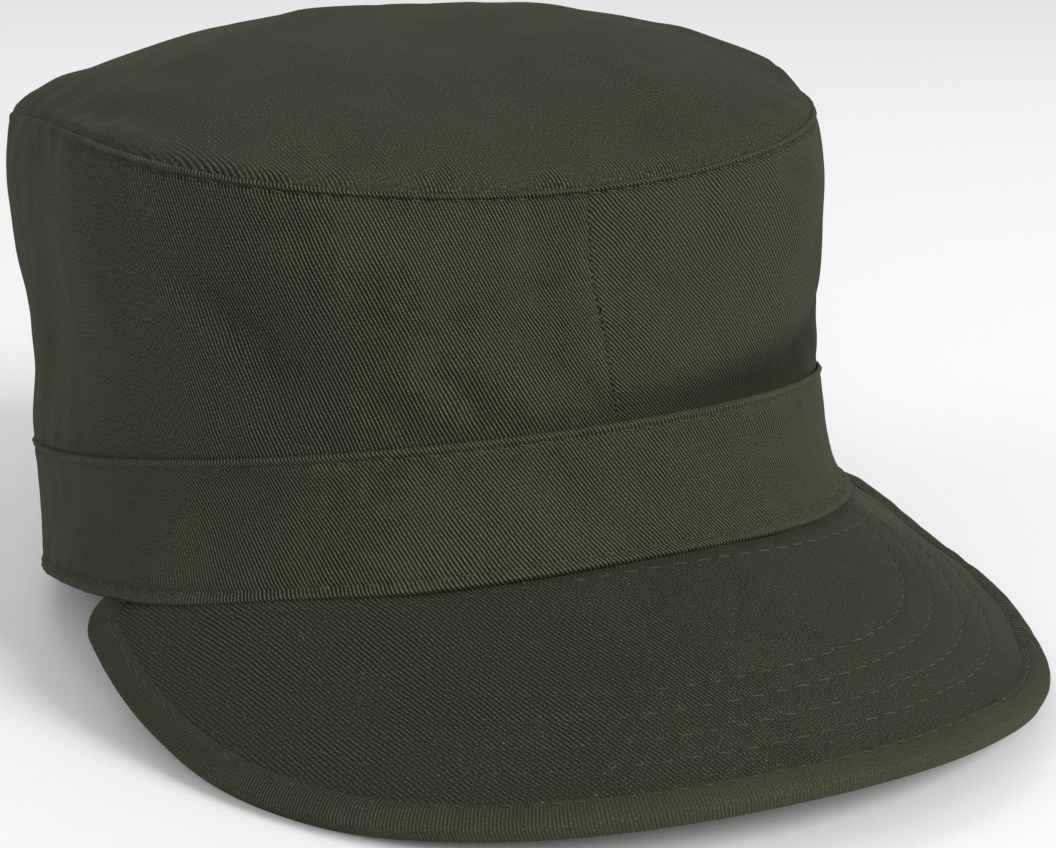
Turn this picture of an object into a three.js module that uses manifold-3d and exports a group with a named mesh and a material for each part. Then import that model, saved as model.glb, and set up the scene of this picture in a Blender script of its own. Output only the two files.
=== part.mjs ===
// A soft fatigue cap of cotton twill: a domed oval top on an upright side wall, a band round the head and an
// arched visor with a bound edge. Millimetres, +Z up, the visor towards -Y, the wearer's left towards +X.
// It stands as it would on a table, on the back of its band and on the two shoulders of its visor.
// The origin is on the table, under the middle of the cap.
import * as THREE from 'three';
import { mergeVertices } from 'three/addons/utils/BufferGeometryUtils.js';
import Module from 'manifold-3d';

const wasm = await Module();
wasm.setup();

// Cloth
const CROWN_CLOTH = 1.0;
const BAND_CLOTH = 1.2;
const BINDING_CLOTH = 1.0;
const VISOR_THICKNESS = 1.8;
const SEAM_ALLOWANCE = 8;
const GAP = 0.3;
const TABLE_PRESS = 0.4; // how far the cloth gives where it stands

// Head opening, over the outside of the band's bottom edge. A corner of 2 makes an ellipse, more is squarer.
const HALF_WIDTH = 87.9;
const FRONT_DEPTH = 95.8;
const BACK_DEPTH = 93.3;
const HEAD_CORNER = 2.05;

// Band
const BAND_HEIGHT = 27.1;
const BAND_WAIST = 1.8; // how far the middle of the band draws in
const BAND_REAR = 1.0; // height of its bottom edge past the visor and round the back
const VISOR_FLARE = 3.8; // how far each end of the visor pushes the band's bottom edge out
const FLARE_SPREAD = 22; // degrees round the head

// Crown
const CROWN_HEIGHT = 63.2; // band's top edge to the top seam, in the middle
const TOP_SLOPE = 7.8; // degrees, the seam rising to the back
const TOP_SADDLE = 6.3; // how much higher the seam runs over the ears
const TOP_FRONT_CORNER = 3.0;
const TOP_BACK_CORNER = 2.3;
const DOME_HEIGHT = 23.1;
const DOME_FULLNESS = 2.3;

// Visor, cut flat and bent over a cylinder
const VISOR_LENGTH = 69.5;
const VISOR_DROOP = 25; // degrees
const VISOR_ARCH_RADIUS = 155.5;
const VISOR_ROOT = 1.3; // height of its root over the level of the band's bottom edge
const VISOR_REACH = 70; // degrees round the head, from the front to each end
const BINDING_WIDTH = 6.4;

// Side wall, a row for each level between the band and the top seam. Width, front and back are shares of the
// head opening's half width and of its depths.
const CROWN_SECTIONS = [
  { level: 0, width: 0.986, front: 0.938, back: 1.002 },
  { level: 0.2, width: 0.957, front: 0.914, back: 1.001 },
  { level: 0.4, width: 0.955, front: 0.899, back: 0.999 },
  { level: 0.6, width: 0.963, front: 0.891, back: 0.995 },
  { level: 0.8, width: 0.962, front: 0.883, back: 0.99 },
  { level: 0.9, width: 0.951, front: 0.877, back: 0.986 },
  { level: 1, width: 0.93, front: 0.87, back: 0.981 },
];

// Dents in the side wall. Angle is degrees from the front, level a share of the wall, slant degrees from
// level. Length, width and depth are shares of the crown's height.
const CROWN_DENTS = [
  { angle: 42, level: 0.09, slant: 7, length: 0.3, width: 0.1, depth: 0.05 },
  { angle: -45, level: 0.45, slant: -62, length: 0.36, width: 0.17, depth: 0.035 },
  { angle: -19, level: 0.16, slant: -60, length: 0.2, width: 0.08, depth: 0.014 },
  { angle: -84, level: 0.9, slant: -25, length: 0.3, width: 0.09, depth: 0.022 },
  { angle: 24, level: 0.62, slant: 20, length: 0.25, width: 0.1, depth: 0.012 },
  { angle: 118, level: 0.4, slant: 55, length: 0.35, width: 0.15, depth: 0.025 },
  { angle: 165, level: 0.3, slant: -50, length: 0.35, width: 0.14, depth: 0.022 },
  { angle: -130, level: 0.35, slant: 50, length: 0.35, width: 0.15, depth: 0.025 },
];

// Soft folds in the top panel. Angle is degrees from the front, reach a share of the panel's radius, length,
// width and depth shares of the dome's height.
const TOP_FOLDS = [
  { angle: 17, reach: 0.86, length: 0.8, width: 0.25, depth: 0.07 },
  { angle: -70, reach: 0.9, length: 0.8, width: 0.4, depth: 0.09 },
  { angle: -24, reach: 0.8, length: 0.9, width: 0.5, depth: -0.05 },
  { angle: 34, reach: 0.75, length: 0.9, width: 0.4, depth: -0.05 },
  { angle: 84, reach: 0.84, length: 0.8, width: 1.2, depth: -0.13 },
  { angle: -122, reach: 0.66, length: 0.9, width: 1, depth: 0.05 },
  { angle: -165, reach: 0.5, length: 0.9, width: 1.2, depth: -0.05 },
  { angle: -102, reach: 0.92, length: 0.5, width: 0.8, depth: -0.09 },
];

// Free edge of the visor from its front to one end: arcs, radius as a share of the visor's length and turn
// in degrees, with the number of chords that each is drawn with
const VISOR_ARCS = [
  { radius: 1.453, turn: 32.9, chords: 9 },
  { radius: 1.42, turn: 46.6, chords: 12 },
  { radius: 2.553, turn: 12.8, chords: 5 },
  { radius: 0.15, turn: 71.3, chords: 8 },
];

const OLIVE = '#3d3e30';
const OLIVE_TOP = '#404234';
const OLIVE_VISOR = '#36382a';
const OLIVE_BINDING = '#3e4032';

const STEPS_ROUND = 88;
const WALL_LEVELS = [0, 0.06, 0.15, 0.28, 0.44, 0.6, 0.76, 0.91, 1];
const BAND_LEVELS = [0, 0.2, 0.45, 0.7, 1];
const DOME_REACHES = [0.16, 0.38, 0.6, 0.78, 0.9, 0.97];
const VISOR_STRIPS = 60;

const radians = THREE.MathUtils.degToRad;
const lerp = THREE.MathUtils.lerp;

function bell(x, spread) {
  return Math.exp(-((x / spread) ** 2));
}

// An oval with its own depth to the front and to the back, angle 0 at the front and positive to +X
function ovalPoint(angle, halfWidth, front, back, frontCorner, backCorner) {
  const s = Math.sin(angle);
  const c = Math.cos(angle);
  const depth = c > 0 ? front : back;
  const corner = c > 0 ? frontCorner : backCorner;
  const reach = (Math.abs(s / halfWidth) ** corner + Math.abs(c / depth) ** corner) ** (-1 / corner);
  return new THREE.Vector2(reach * s, -reach * c);
}

function moveOut(point, distance) {
  return point.add(point.clone().setLength(distance));
}

const sectionCurve = new THREE.CubicInterpolant(
  CROWN_SECTIONS.map((row) => row.level),
  CROWN_SECTIONS.flatMap((row) => [row.width, row.front, row.back]),
  3,
);

function sectionAt(level) {
  const [width, front, back] = sectionCurve.evaluate(level);
  return { width: HALF_WIDTH * width, front: FRONT_DEPTH * front, back: BACK_DEPTH * back };
}

// The visor's cylinder: pattern coordinates are u round the arch and v forward from the root
const droop = radians(VISOR_DROOP);

function visorPoint(u, v, lift) {
  const turn = u / VISOR_ARCH_RADIUS;
  const rise = (VISOR_ARCH_RADIUS + lift) * Math.cos(turn) - VISOR_ARCH_RADIUS;
  return new THREE.Vector3(
    (VISOR_ARCH_RADIUS + lift) * Math.sin(turn),
    -FRONT_DEPTH - v * Math.cos(droop) - rise * Math.sin(droop),
    VISOR_ROOT - v * Math.sin(droop) + rise * Math.cos(droop),
  );
}

function patternPoint(x, y) {
  const turn = Math.asin(x / VISOR_ARCH_RADIUS);
  const rise = VISOR_ARCH_RADIUS * (Math.cos(turn) - 1);
  const run = FRONT_DEPTH + y + rise * Math.sin(droop);
  return new THREE.Vector2(VISOR_ARCH_RADIUS * turn, -run / Math.cos(droop));
}

function visorHeight(x, y) {
  const pattern = patternPoint(x, y);
  return visorPoint(pattern.x, pattern.y, 0).z;
}

// The band: level 0 at its bottom edge and 1 at its top, inset measured inwards from its outside
function flareAt(angle) {
  return VISOR_FLARE * bell(Math.abs(angle) - radians(VISOR_REACH), radians(FLARE_SPREAD));
}

function bandPlan(angle, level, inset) {
  const top = sectionAt(0);
  const width = lerp(HALF_WIDTH, top.width, level);
  const front = lerp(FRONT_DEPTH, top.front, level);
  const back = lerp(BACK_DEPTH, top.back, level);
  const point = ovalPoint(angle, width, front, back, HEAD_CORNER, HEAD_CORNER);
  const waist = BAND_WAIST * 4 * level * (1 - level);
  return moveOut(point, flareAt(angle) * (1 - level) ** 3 - waist - inset);
}

// The bottom edge seats on the visor nearly to its ends, then runs on at the band's level at the back
const SEAT_END = radians(VISOR_REACH - 3);
const SEAT_BLEND = radians(16);

function bandFoot(angle, inset) {
  const seated = Math.sign(angle) * Math.min(Math.abs(angle), SEAT_END);
  const point = bandPlan(seated, 0, inset);
  const past = THREE.MathUtils.smoothstep((Math.abs(angle) - SEAT_END) / SEAT_BLEND, 0, 1);
  return lerp(visorHeight(point.x, point.y) + GAP, BAND_REAR, past);
}

function bandPoint(angle, level, inset) {
  const point = bandPlan(angle, level, inset);
  return new THREE.Vector3(point.x, point.y, lerp(bandFoot(angle, inset), BAND_HEIGHT, level));
}

// The side wall: level 0 at the band's top edge and 1 at the top seam
function seamHeight(angle, y) {
  const rise = y * Math.tan(radians(TOP_SLOPE)) - TOP_SADDLE * Math.cos(2 * angle);
  return BAND_HEIGHT + CROWN_HEIGHT + rise;
}

function dentAt(angle, level) {
  return CROWN_DENTS.reduce((sum, dent) => {
    const across = (angle - radians(dent.angle)) * HALF_WIDTH;
    const up = (level - dent.level) * CROWN_HEIGHT;
    const slant = radians(dent.slant);
    const along = across * Math.cos(slant) + up * Math.sin(slant);
    const aside = up * Math.cos(slant) - across * Math.sin(slant);
    const shape = bell(along, dent.length * CROWN_HEIGHT) * bell(aside, dent.width * CROWN_HEIGHT);
    return sum + dent.depth * CROWN_HEIGHT * shape;
  }, 0);
}

function wallPoint(angle, level, inset) {
  const { width, front, back } = sectionAt(level);
  const frontCorner = lerp(HEAD_CORNER, TOP_FRONT_CORNER, level);
  const backCorner = lerp(HEAD_CORNER, TOP_BACK_CORNER, level);
  const point = ovalPoint(angle, width, front, back, frontCorner, backCorner);
  const tuck = (BAND_CLOTH + GAP) * (1 - THREE.MathUtils.smoothstep(level * CROWN_HEIGHT, 0, SEAM_ALLOWANCE));
  const fade = THREE.MathUtils.smoothstep(level, 0, 0.06) * (1 - THREE.MathUtils.smoothstep(level, 0.9, 1));
  moveOut(point, -tuck - inset - dentAt(angle, level) * fade);
  return new THREE.Vector3(point.x, point.y, lerp(BAND_HEIGHT, seamHeight(angle, point.y), level));
}

// The top panel: reach 0 at its middle and 1 at the seam, drop measured down from its outside
function foldAt(angle, reach) {
  return TOP_FOLDS.reduce((sum, fold) => {
    const aside = (angle - radians(fold.angle)) * reach * HALF_WIDTH;
    const along = (reach - fold.reach) * HALF_WIDTH;
    const shape = bell(along, fold.length * DOME_HEIGHT) * bell(aside, fold.width * DOME_HEIGHT);
    return sum + fold.depth * DOME_HEIGHT * shape;
  }, 0);
}

function topPoint(angle, reach, drop) {
  const seam = wallPoint(angle, 1, 0);
  const middle = new THREE.Vector3(0, 0, BAND_HEIGHT + CROWN_HEIGHT);
  const point = middle.lerp(seam, reach);
  const fade = 1 - THREE.MathUtils.smoothstep(reach, 0.93, 1);
  point.z += DOME_HEIGHT * (1 - reach ** DOME_FULLNESS) - foldAt(angle, reach) * fade - drop;
  return point;
}

// Closed solids from sections: each is a loop of points, and the two sides of a cloth's section have the
// same number of points, so an end is closed by a strip between them
function solid(points, faces) {
  const geometry = new THREE.BufferGeometry();
  const places = points.flatMap((p) => [p.x, p.y, p.z]);
  geometry.setAttribute('position', new THREE.Float32BufferAttribute(places, 3));
  geometry.setIndex(faces.flat());
  return geometry;
}

function joinLoops(count, size, wrap) {
  const faces = [];
  const last = wrap ? count : count - 1;
  for (let i = 0; i < last; i += 1) {
    for (let j = 0; j < size; j += 1) {
      const a = i * size + j;
      const b = i * size + ((j + 1) % size);
      const c = ((i + 1) % count) * size + j;
      const d = ((i + 1) % count) * size + ((j + 1) % size);
      faces.push([a, c, b], [b, c, d]);
    }
  }
  return faces;
}

function sweep(sections, wrap) {
  const size = sections[0].length;
  const faces = joinLoops(sections.length, size, wrap);
  const end = (sections.length - 1) * size;
  for (let j = 0; !wrap && j < size / 2 - 1; j += 1) {
    const near = size - 1 - j;
    faces.push([j, j + 1, near], [j + 1, near - 1, near]);
    faces.push([end + j, end + near, end + j + 1], [end + j + 1, end + near, end + near - 1]);
  }
  return solid(sections.flat(), faces);
}

// A shell whose loops run round an axis, closed at its first and last loop by a fan
function domedShell(loops) {
  const size = loops[0].length;
  const faces = joinLoops(loops.length, size, false);
  const points = loops.flat();
  const start = points.length;
  const end = (loops.length - 1) * size;
  const centre = (loop) => loop.reduce((sum, p) => sum.add(p), new THREE.Vector3()).divideScalar(size);
  points.push(centre(loops[0]), centre(loops.at(-1)));
  for (let j = 0; j < size; j += 1) {
    const next = (j + 1) % size;
    faces.push([start, j, next], [start + 1, end + next, end + j]);
  }
  return solid(points, faces);
}

function toManifold(geometry) {
  const bare = geometry.clone();
  bare.deleteAttribute('normal');
  bare.deleteAttribute('uv');
  const merged = mergeVertices(bare);
  const vertProperties = Float32Array.from(merged.attributes.position.array);
  const triVerts = Uint32Array.from(merged.index.array);
  return new wasm.Manifold(new wasm.Mesh({ numProp: 3, vertProperties, triVerts }));
}

function cutAway(geometry, tool) {
  const mesh = toManifold(geometry).subtract(toManifold(tool)).getMesh();
  const cut = new THREE.BufferGeometry();
  cut.setAttribute('position', new THREE.BufferAttribute(Float32Array.from(mesh.vertProperties), 3));
  cut.setIndex([...mesh.triVerts]);
  return cut;
}

const ROUND = Array.from({ length: STEPS_ROUND }, (_, i) => (i / STEPS_ROUND) * 2 * Math.PI - Math.PI);

function buildBand() {
  const sections = ROUND.map((angle) => [
    ...BAND_LEVELS.map((level) => bandPoint(angle, level, 0)),
    ...BAND_LEVELS.toReversed().map((level) => bandPoint(angle, level, BAND_CLOTH)),
  ]);
  return sweep(sections, true);
}

// Half of the side wall, from the front seam to the back seam, its lower allowance tucked inside the band
function buildSide(side) {
  const steps = STEPS_ROUND / 2;
  const seamEdge = GAP / 2 / FRONT_DEPTH;
  const tucked = 1 - SEAM_ALLOWANCE / BAND_HEIGHT;
  const hidden = BAND_CLOTH + GAP;
  const headroom = GAP + 1.5 * CROWN_CLOTH;
  const profile = (angle, inset) => {
    const allowance = [tucked, (1 + tucked) / 2].map((level) => bandPoint(angle, level, hidden + inset));
    const wall = WALL_LEVELS.map((level) => wallPoint(angle, level, inset));
    wall.at(-1).z -= headroom;
    return [...allowance, ...wall];
  };
  const sections = Array.from({ length: steps + 1 }, (_, i) => {
    const angle = side * lerp(seamEdge, Math.PI - seamEdge, i / steps);
    return [...profile(angle, 0), ...profile(angle, CROWN_CLOTH).toReversed()];
  });
  return sweep(side > 0 ? sections : sections.toReversed(), false);
}

// The top panel, its allowance turned down inside the side wall
function buildTop() {
  const drop = 1.2 * CROWN_CLOTH;
  const inside = CROWN_CLOTH + GAP;
  const allowance = (angle, inset, depth) => {
    const point = wallPoint(angle, 1, inset);
    point.z -= depth;
    return point;
  };
  const loops = [
    ...DOME_REACHES.map((reach) => ROUND.map((angle) => topPoint(angle, reach, 0))),
    ROUND.map((angle) => topPoint(angle, 1, 0)),
    ROUND.map((angle) => topPoint(angle, 1, drop)),
    ROUND.map((angle) => allowance(angle, inside, drop)),
    ROUND.map((angle) => allowance(angle, inside, drop + SEAM_ALLOWANCE)),
    ROUND.map((angle) => allowance(angle, inside + CROWN_CLOTH, drop + SEAM_ALLOWANCE)),
    ROUND.map((angle) => allowance(angle, inside + CROWN_CLOTH, drop)),
    ...DOME_REACHES.toReversed().map((reach) => ROUND.map((angle) => topPoint(angle, reach, drop))),
  ];
  return domedShell(loops);
}

// The visor's free edge in the flat, from its left end round the front to its right end. The arcs are fitted
// to the visor's length and to the band at the visor's ends, then run on under the band.
function visorEdge() {
  const raw = [new THREE.Vector2(0, 0)];
  const at = new THREE.Vector2(0, 0);
  let heading = 0;
  for (const arc of VISOR_ARCS) {
    const radius = arc.radius * VISOR_LENGTH;
    for (let i = 0; i < arc.chords; i += 1) {
      const turn = radians(arc.turn) / arc.chords;
      const chord = 2 * radius * Math.sin(turn / 2);
      at.x += chord * Math.cos(heading + turn / 2);
      at.y -= chord * Math.sin(heading + turn / 2);
      heading += turn;
      raw.push(at.clone());
    }
  }
  const foot = bandPlan(radians(VISOR_REACH), 0, 0);
  const end = patternPoint(foot.x, foot.y);
  const spread = new THREE.Vector2(end.x / at.x, (end.y - VISOR_LENGTH) / at.y);
  const half = raw.map((p) => new THREE.Vector2(p.x * spread.x, VISOR_LENGTH + p.y * spread.y));
  const under = BAND_CLOTH + 2 * GAP + BINDING_WIDTH / 4;
  const runOn = half.at(-1).clone().sub(half.at(-2)).setLength(under);
  half.push(half.at(-1).clone().add(runOn));
  const mirrored = half.slice(1).map((p) => new THREE.Vector2(-p.x, p.y)).toReversed();
  return [...mirrored, ...half];
}

function inwardNormals(edge) {
  return edge.map((_, i) => {
    const from = edge[Math.max(i - 1, 0)];
    const to = edge[Math.min(i + 1, edge.length - 1)];
    const along = to.clone().sub(from).normalize();
    return new THREE.Vector2(along.y, -along.x);
  });
}

function insetEdge(edge, distance) {
  const normals = inwardNormals(edge);
  return edge.map((p, i) => p.clone().addScaledVector(normals[i], distance));
}

// Where a line of constant u crosses a closed outline
function spanAt(outline, u) {
  const hits = [];
  outline.forEach((a, i) => {
    const b = outline[(i + 1) % outline.length];
    if (a.x <= u !== b.x <= u) hits.push(lerp(a.y, b.y, (u - a.x) / (b.x - a.x)));
  });
  return [Math.min(...hits), Math.max(...hits)];
}

// The room that the band takes from the visor: its own wall with the clearance round it, deeper past the seat
function seatRoom() {
  const seated = SEAT_END - (2 * Math.PI) / STEPS_ROUND;
  const sections = ROUND.map((angle) => {
    const depth = Math.abs(angle) > seated ? 2 * VISOR_THICKNESS : 0.6 * GAP;
    const side = (inset) => {
      const skirt = bandPoint(angle, 0, inset);
      skirt.z -= depth;
      return [skirt, bandPoint(angle, 0, inset), bandPoint(angle, 1, inset)];
    };
    return [...side(-GAP), ...side(2 * BAND_CLOTH).toReversed()];
  });
  return sweep(sections, true);
}

function planBlock(inset) {
  const outline = new THREE.Shape(ROUND.map((angle) => bandPlan(angle, 0, inset)));
  const depth = 2 * VISOR_LENGTH;
  return new THREE.ExtrudeGeometry(outline, { depth, bevelEnabled: false }).translate(0, 0, -depth / 2);
}

// The visor reaches under the band to its inside, and its edge stops short inside the binding's fold
function buildVisor(edge) {
  const outline = insetEdge(edge, BINDING_CLOTH + GAP);
  const reach = Math.max(...outline.map((p) => p.x));
  const sections = Array.from({ length: VISOR_STRIPS + 1 }, (_, i) => {
    const u = reach * Math.sin(lerp(-0.497, 0.497, i / VISOR_STRIPS) * Math.PI);
    const [low, high] = spanAt(outline, u);
    return [
      visorPoint(u, low, -VISOR_THICKNESS),
      visorPoint(u, high, -VISOR_THICKNESS),
      visorPoint(u, high, 0),
      visorPoint(u, low, 0),
    ];
  });
  const bare = cutAway(sweep(sections, false), planBlock(BAND_CLOTH));
  return cutAway(bare, seatRoom());
}

// Section of the binding, a strip folded round the edge: distances in from the fold and heights over the
// visor's upper face
function bindingSection() {
  const middle = -VISOR_THICKNESS / 2;
  const flat = VISOR_THICKNESS / 2;
  const centre = BINDING_CLOTH + GAP;
  const side = (radius) => {
    const fold = [90, 45, 0].map((degrees) => ({
      inset: centre - radius * Math.cos(radians(degrees)),
      lift: flat + radius * Math.sin(radians(degrees)),
    }));
    const upper = [{ inset: BINDING_WIDTH, lift: flat + radius }, ...fold];
    const lower = upper.toReversed().map(({ inset, lift }) => ({ inset, lift: -lift }));
    return [...upper, ...lower].toReversed().map(({ inset, lift }) => ({ inset, lift: middle + lift }));
  };
  return [...side(BINDING_CLOTH + GAP), ...side(GAP).toReversed()];
}

function buildBinding(edge) {
  const normals = inwardNormals(edge);
  const sections = edge.map((p, i) => bindingSection().map(({ inset, lift }) => {
    const place = p.clone().addScaledVector(normals[i], inset);
    return visorPoint(place.x, place.y, lift);
  }));
  return cutAway(sweep(sections, false), planBlock(-GAP));
}

const edge = visorEdge();
const PIECES = [
  { name: 'crown_top', geometry: buildTop(), colour: OLIVE_TOP },
  { name: 'crown_side_left', geometry: buildSide(1), colour: OLIVE },
  { name: 'crown_side_right', geometry: buildSide(-1), colour: OLIVE },
  { name: 'band', geometry: buildBand(), colour: OLIVE },
  { name: 'visor', geometry: buildVisor(edge), colour: OLIVE_VISOR },
  { name: 'visor_binding', geometry: buildBinding(edge), colour: OLIVE_BINDING },
];

function eachVertex(geometry, visit) {
  const place = geometry.attributes.position;
  const point = new THREE.Vector3();
  for (let i = 0; i < place.count; i += 1) {
    point.fromBufferAttribute(place, i);
    visit(point);
    place.setXYZ(i, point.x, point.y, point.z);
  }
}

// The table touches the back of the band and the lowest points of the visor's binding
function restTilt() {
  const back = bandPoint(Math.PI, 0, 0);
  const angles = [];
  eachVertex(PIECES.at(-1).geometry, (p) => angles.push(Math.atan2(back.z - p.z, back.y - p.y)));
  return Math.max(...angles);
}

const tilt = restTilt();
const up = new THREE.Vector3(0, -Math.sin(tilt), Math.cos(tilt));
const footing = bandPoint(Math.PI, 0, 0).addScaledVector(up, TABLE_PRESS);
const table = new THREE.Plane().setFromNormalAndCoplanarPoint(up, footing);

const cap = new THREE.Group();
cap.rotation.x = -tilt;
for (const { name, geometry, colour } of PIECES) {
  eachVertex(geometry, (p) => p.addScaledVector(up, -Math.min(table.distanceToPoint(p), 0)));
  geometry.computeVertexNormals();
  const material = new THREE.MeshStandardMaterial({ color: colour, roughness: 0.9, metalness: 0 });
  const mesh = new THREE.Mesh(geometry, material);
  mesh.name = name;
  cap.add(mesh);
}

const fatigueCap = new THREE.Group();
fatigueCap.add(cap);
fatigueCap.updateMatrixWorld(true);
const box = new THREE.Box3().setFromObject(fatigueCap, true);
const centre = box.getCenter(new THREE.Vector3());
cap.position.set(-centre.x, -centre.y, -box.min.z);
fatigueCap.updateMatrixWorld(true);

export default fatigueCap;
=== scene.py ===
"""A soft fatigue cap in olive cotton twill: domed top, side wall, doubled band, arched visor.

Lengths here are millimetres in the cap's own wearing frame: +Z up from the level of the band's
bottom edge, the visor towards -Y, the wearer's left towards +X, angles round the head from the
front. stand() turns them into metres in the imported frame, where the cap stands on a table.
"""
import math

import bpy
import numpy as np
from mathutils import Matrix, Vector


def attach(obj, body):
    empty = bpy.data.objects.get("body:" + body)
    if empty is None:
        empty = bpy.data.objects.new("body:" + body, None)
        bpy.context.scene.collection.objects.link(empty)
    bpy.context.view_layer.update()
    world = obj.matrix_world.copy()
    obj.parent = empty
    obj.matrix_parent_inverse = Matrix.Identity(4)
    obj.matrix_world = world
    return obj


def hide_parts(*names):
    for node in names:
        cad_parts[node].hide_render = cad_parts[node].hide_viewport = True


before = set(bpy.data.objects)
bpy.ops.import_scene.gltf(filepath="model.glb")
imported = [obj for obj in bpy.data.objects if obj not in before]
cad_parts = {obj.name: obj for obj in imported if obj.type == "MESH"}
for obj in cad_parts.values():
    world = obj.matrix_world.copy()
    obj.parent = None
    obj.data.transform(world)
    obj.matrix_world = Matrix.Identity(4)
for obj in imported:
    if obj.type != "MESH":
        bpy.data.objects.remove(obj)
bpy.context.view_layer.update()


def table(columns, *rows):
    """One dict a row, with each value under its column's name."""
    return [dict(zip(columns.split(), row)) for row in rows]


# Cloth
CROWN_CLOTH = 1.0
BAND_CLOTH = 1.2
BINDING_CLOTH = 1.0
VISOR_THICKNESS = 1.8
SEAM_ALLOWANCE = 8.0
GAP = 0.3
CROWN_TUCK = 0.95  # how far the side wall sits inside the band
WALL_SINK = 0.4  # how far the side wall's top edge lies below the seam
FOOT_FOLD = 0.75  # how far the band's foot is folded down over the visor's seam
VISOR_TUCK = 1.9  # how far the visor runs in under the band

# How the cap stands: tipped back on the band, then moved over the origin
REST_TILT = 9.009  # degrees
STAND_Y = 27.855
STAND_Z = 13.222

# Head opening and band
HALF_WIDTH = 87.9
FRONT_DEPTH = 95.8
BACK_DEPTH = 93.3
HEAD_CORNER = 2.05
BAND_HEIGHT = 27.1
BAND_WAIST = 1.8
BAND_REAR = 1.0
VISOR_FLARE = 3.8
FLARE_SPREAD = 22.0  # degrees

# Crown
CROWN_HEIGHT = 63.2
TOP_SLOPE = 7.8  # degrees
TOP_SADDLE = 6.3
TOP_FRONT_CORNER = 3.0
TOP_BACK_CORNER = 2.3
DOME_HEIGHT = 23.1
DOME_FULLNESS = 2.3
TOP_SKIN = 1.1  # from the top's face to its underside
TURN_DEPTH = 1.6  # below the seam, where the top's allowance turns down
TURN_END = SEAM_ALLOWANCE + 1.2

# Visor
VISOR_LENGTH = 69.5
VISOR_DROOP = 25.0  # degrees
VISOR_ARCH_RADIUS = 155.5
VISOR_ROOT = 1.3
VISOR_REACH = 70.0  # degrees
BINDING_WIDTH = 6.4
QUILT_SWELL = 0.1
ROW_SINK = 0.12
SEAM_DIP = 0.6  # where the seam draws the visor under the band
RUFFLE_PITCH = 1.5  # of the binding's small puckers at the wearer's left
RUFFLE_AT = 0.79  # share of the way from the wearer's right end
RUFFLE_RISE = 0.09

# Side wall by level: width, front and back as shares of the head opening's half width and depths
CROWN_SECTIONS = table(
    "level width front back",
    (0.0, 0.986, 0.938, 1.002),
    (0.2, 0.957, 0.914, 1.001),
    (0.4, 0.955, 0.899, 0.999),
    (0.6, 0.963, 0.891, 0.995),
    (0.8, 0.962, 0.883, 0.990),
    (0.9, 0.951, 0.877, 0.986),
    (1.0, 0.930, 0.870, 0.981),
)

# The front seam by level: how far it strays to the wearer's left
SEAM_DRIFT = table(
    "level shift",
    (0.0, 0.0), (0.27, 0.0), (0.41, -0.1), (0.56, -0.9), (0.69, -0.8), (0.81, 0.0), (0.94, 0.8),
    (1.0, 1.0),
)

# Free edge of the visor from its front to one end: radius as a share of its length, turn in degrees
VISOR_ARCS = table(
    "radius turn chords",
    (1.453, 32.9, 50),
    (1.42, 46.6, 60),
    (2.553, 12.8, 30),
    (0.15, 71.3, 40),
)

# Soft folds of the side wall. Angle and level place the middle, slant is degrees from level in the
# wall, length and width are the reach along and across it, and lift is how far it stands out.
CROWN_FOLDS = table(
    "angle level slant length width lift",
    (21, 0.04, 4, 20, 4.0, -1.3),
    (40, 0.12, 11, 20, 6.5, -3.2),
    (38, 0.34, 11, 22, 8.0, 1.3),
    (-44, 0.42, -76, 20, 10.0, -2.0),
    (-74, 0.55, 86, 22, 10.0, 1.1),
    (-50, 0.54, -46, 17, 4.0, -1.0),
    (-53, 0.44, -50, 14, 4.0, 0.5),
    (-28, 0.12, -60, 8, 3.6, -0.8),
    (-18.5, 0.17, -62, 10, 3.8, -0.9),
    (-4.5, 0.18, -50, 9, 3.4, -0.8),
    (-12, 0.15, -55, 9, 3.6, 0.5),
    (-24, 0.20, -60, 10, 4.0, 0.5),
    (-9, 0.58, 20, 5, 3.2, -0.8),
    (-3, 0.82, 8, 12, 4.5, -0.8),
    (-38, 0.82, 4, 14, 4.5, -0.8),
    (-22, 0.74, -8, 14, 6.0, 0.7),
    (20, 0.62, 28, 13, 7.0, -1.0),
    (30, 0.92, 6, 9, 4.0, 0.6),
    (37, 0.83, -30, 8, 4.0, -1.1),
    (52, 0.66, 74, 16, 8.0, 0.3),
    (63, 0.24, 0, 11, 14.0, 1.6),
    (66, 0.24, 0, 12, 5.0, 0.9),
    (66, 0.50, 0, 12, 6.5, -0.9),
    (-84, 0.90, 10, 12, 5.0, -0.8),
    (-90, 0.30, 62, 16, 7.0, -1.0),
    (86, 0.45, 60, 24, 7.0, -1.4),
    (104, 0.36, 52, 24, 6.0, 1.0),
    (122, 0.42, 56, 26, 7.0, -2.0),
    (150, 0.62, 30, 20, 7.0, -1.0),
    (165, 0.25, -40, 20, 6.0, -1.5),
    (-112, 0.40, -54, 22, 7.0, -1.5),
    (-132, 0.35, 50, 24, 7.0, -1.8),
    (-158, 0.60, -30, 20, 7.0, -1.1),
)

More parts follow.
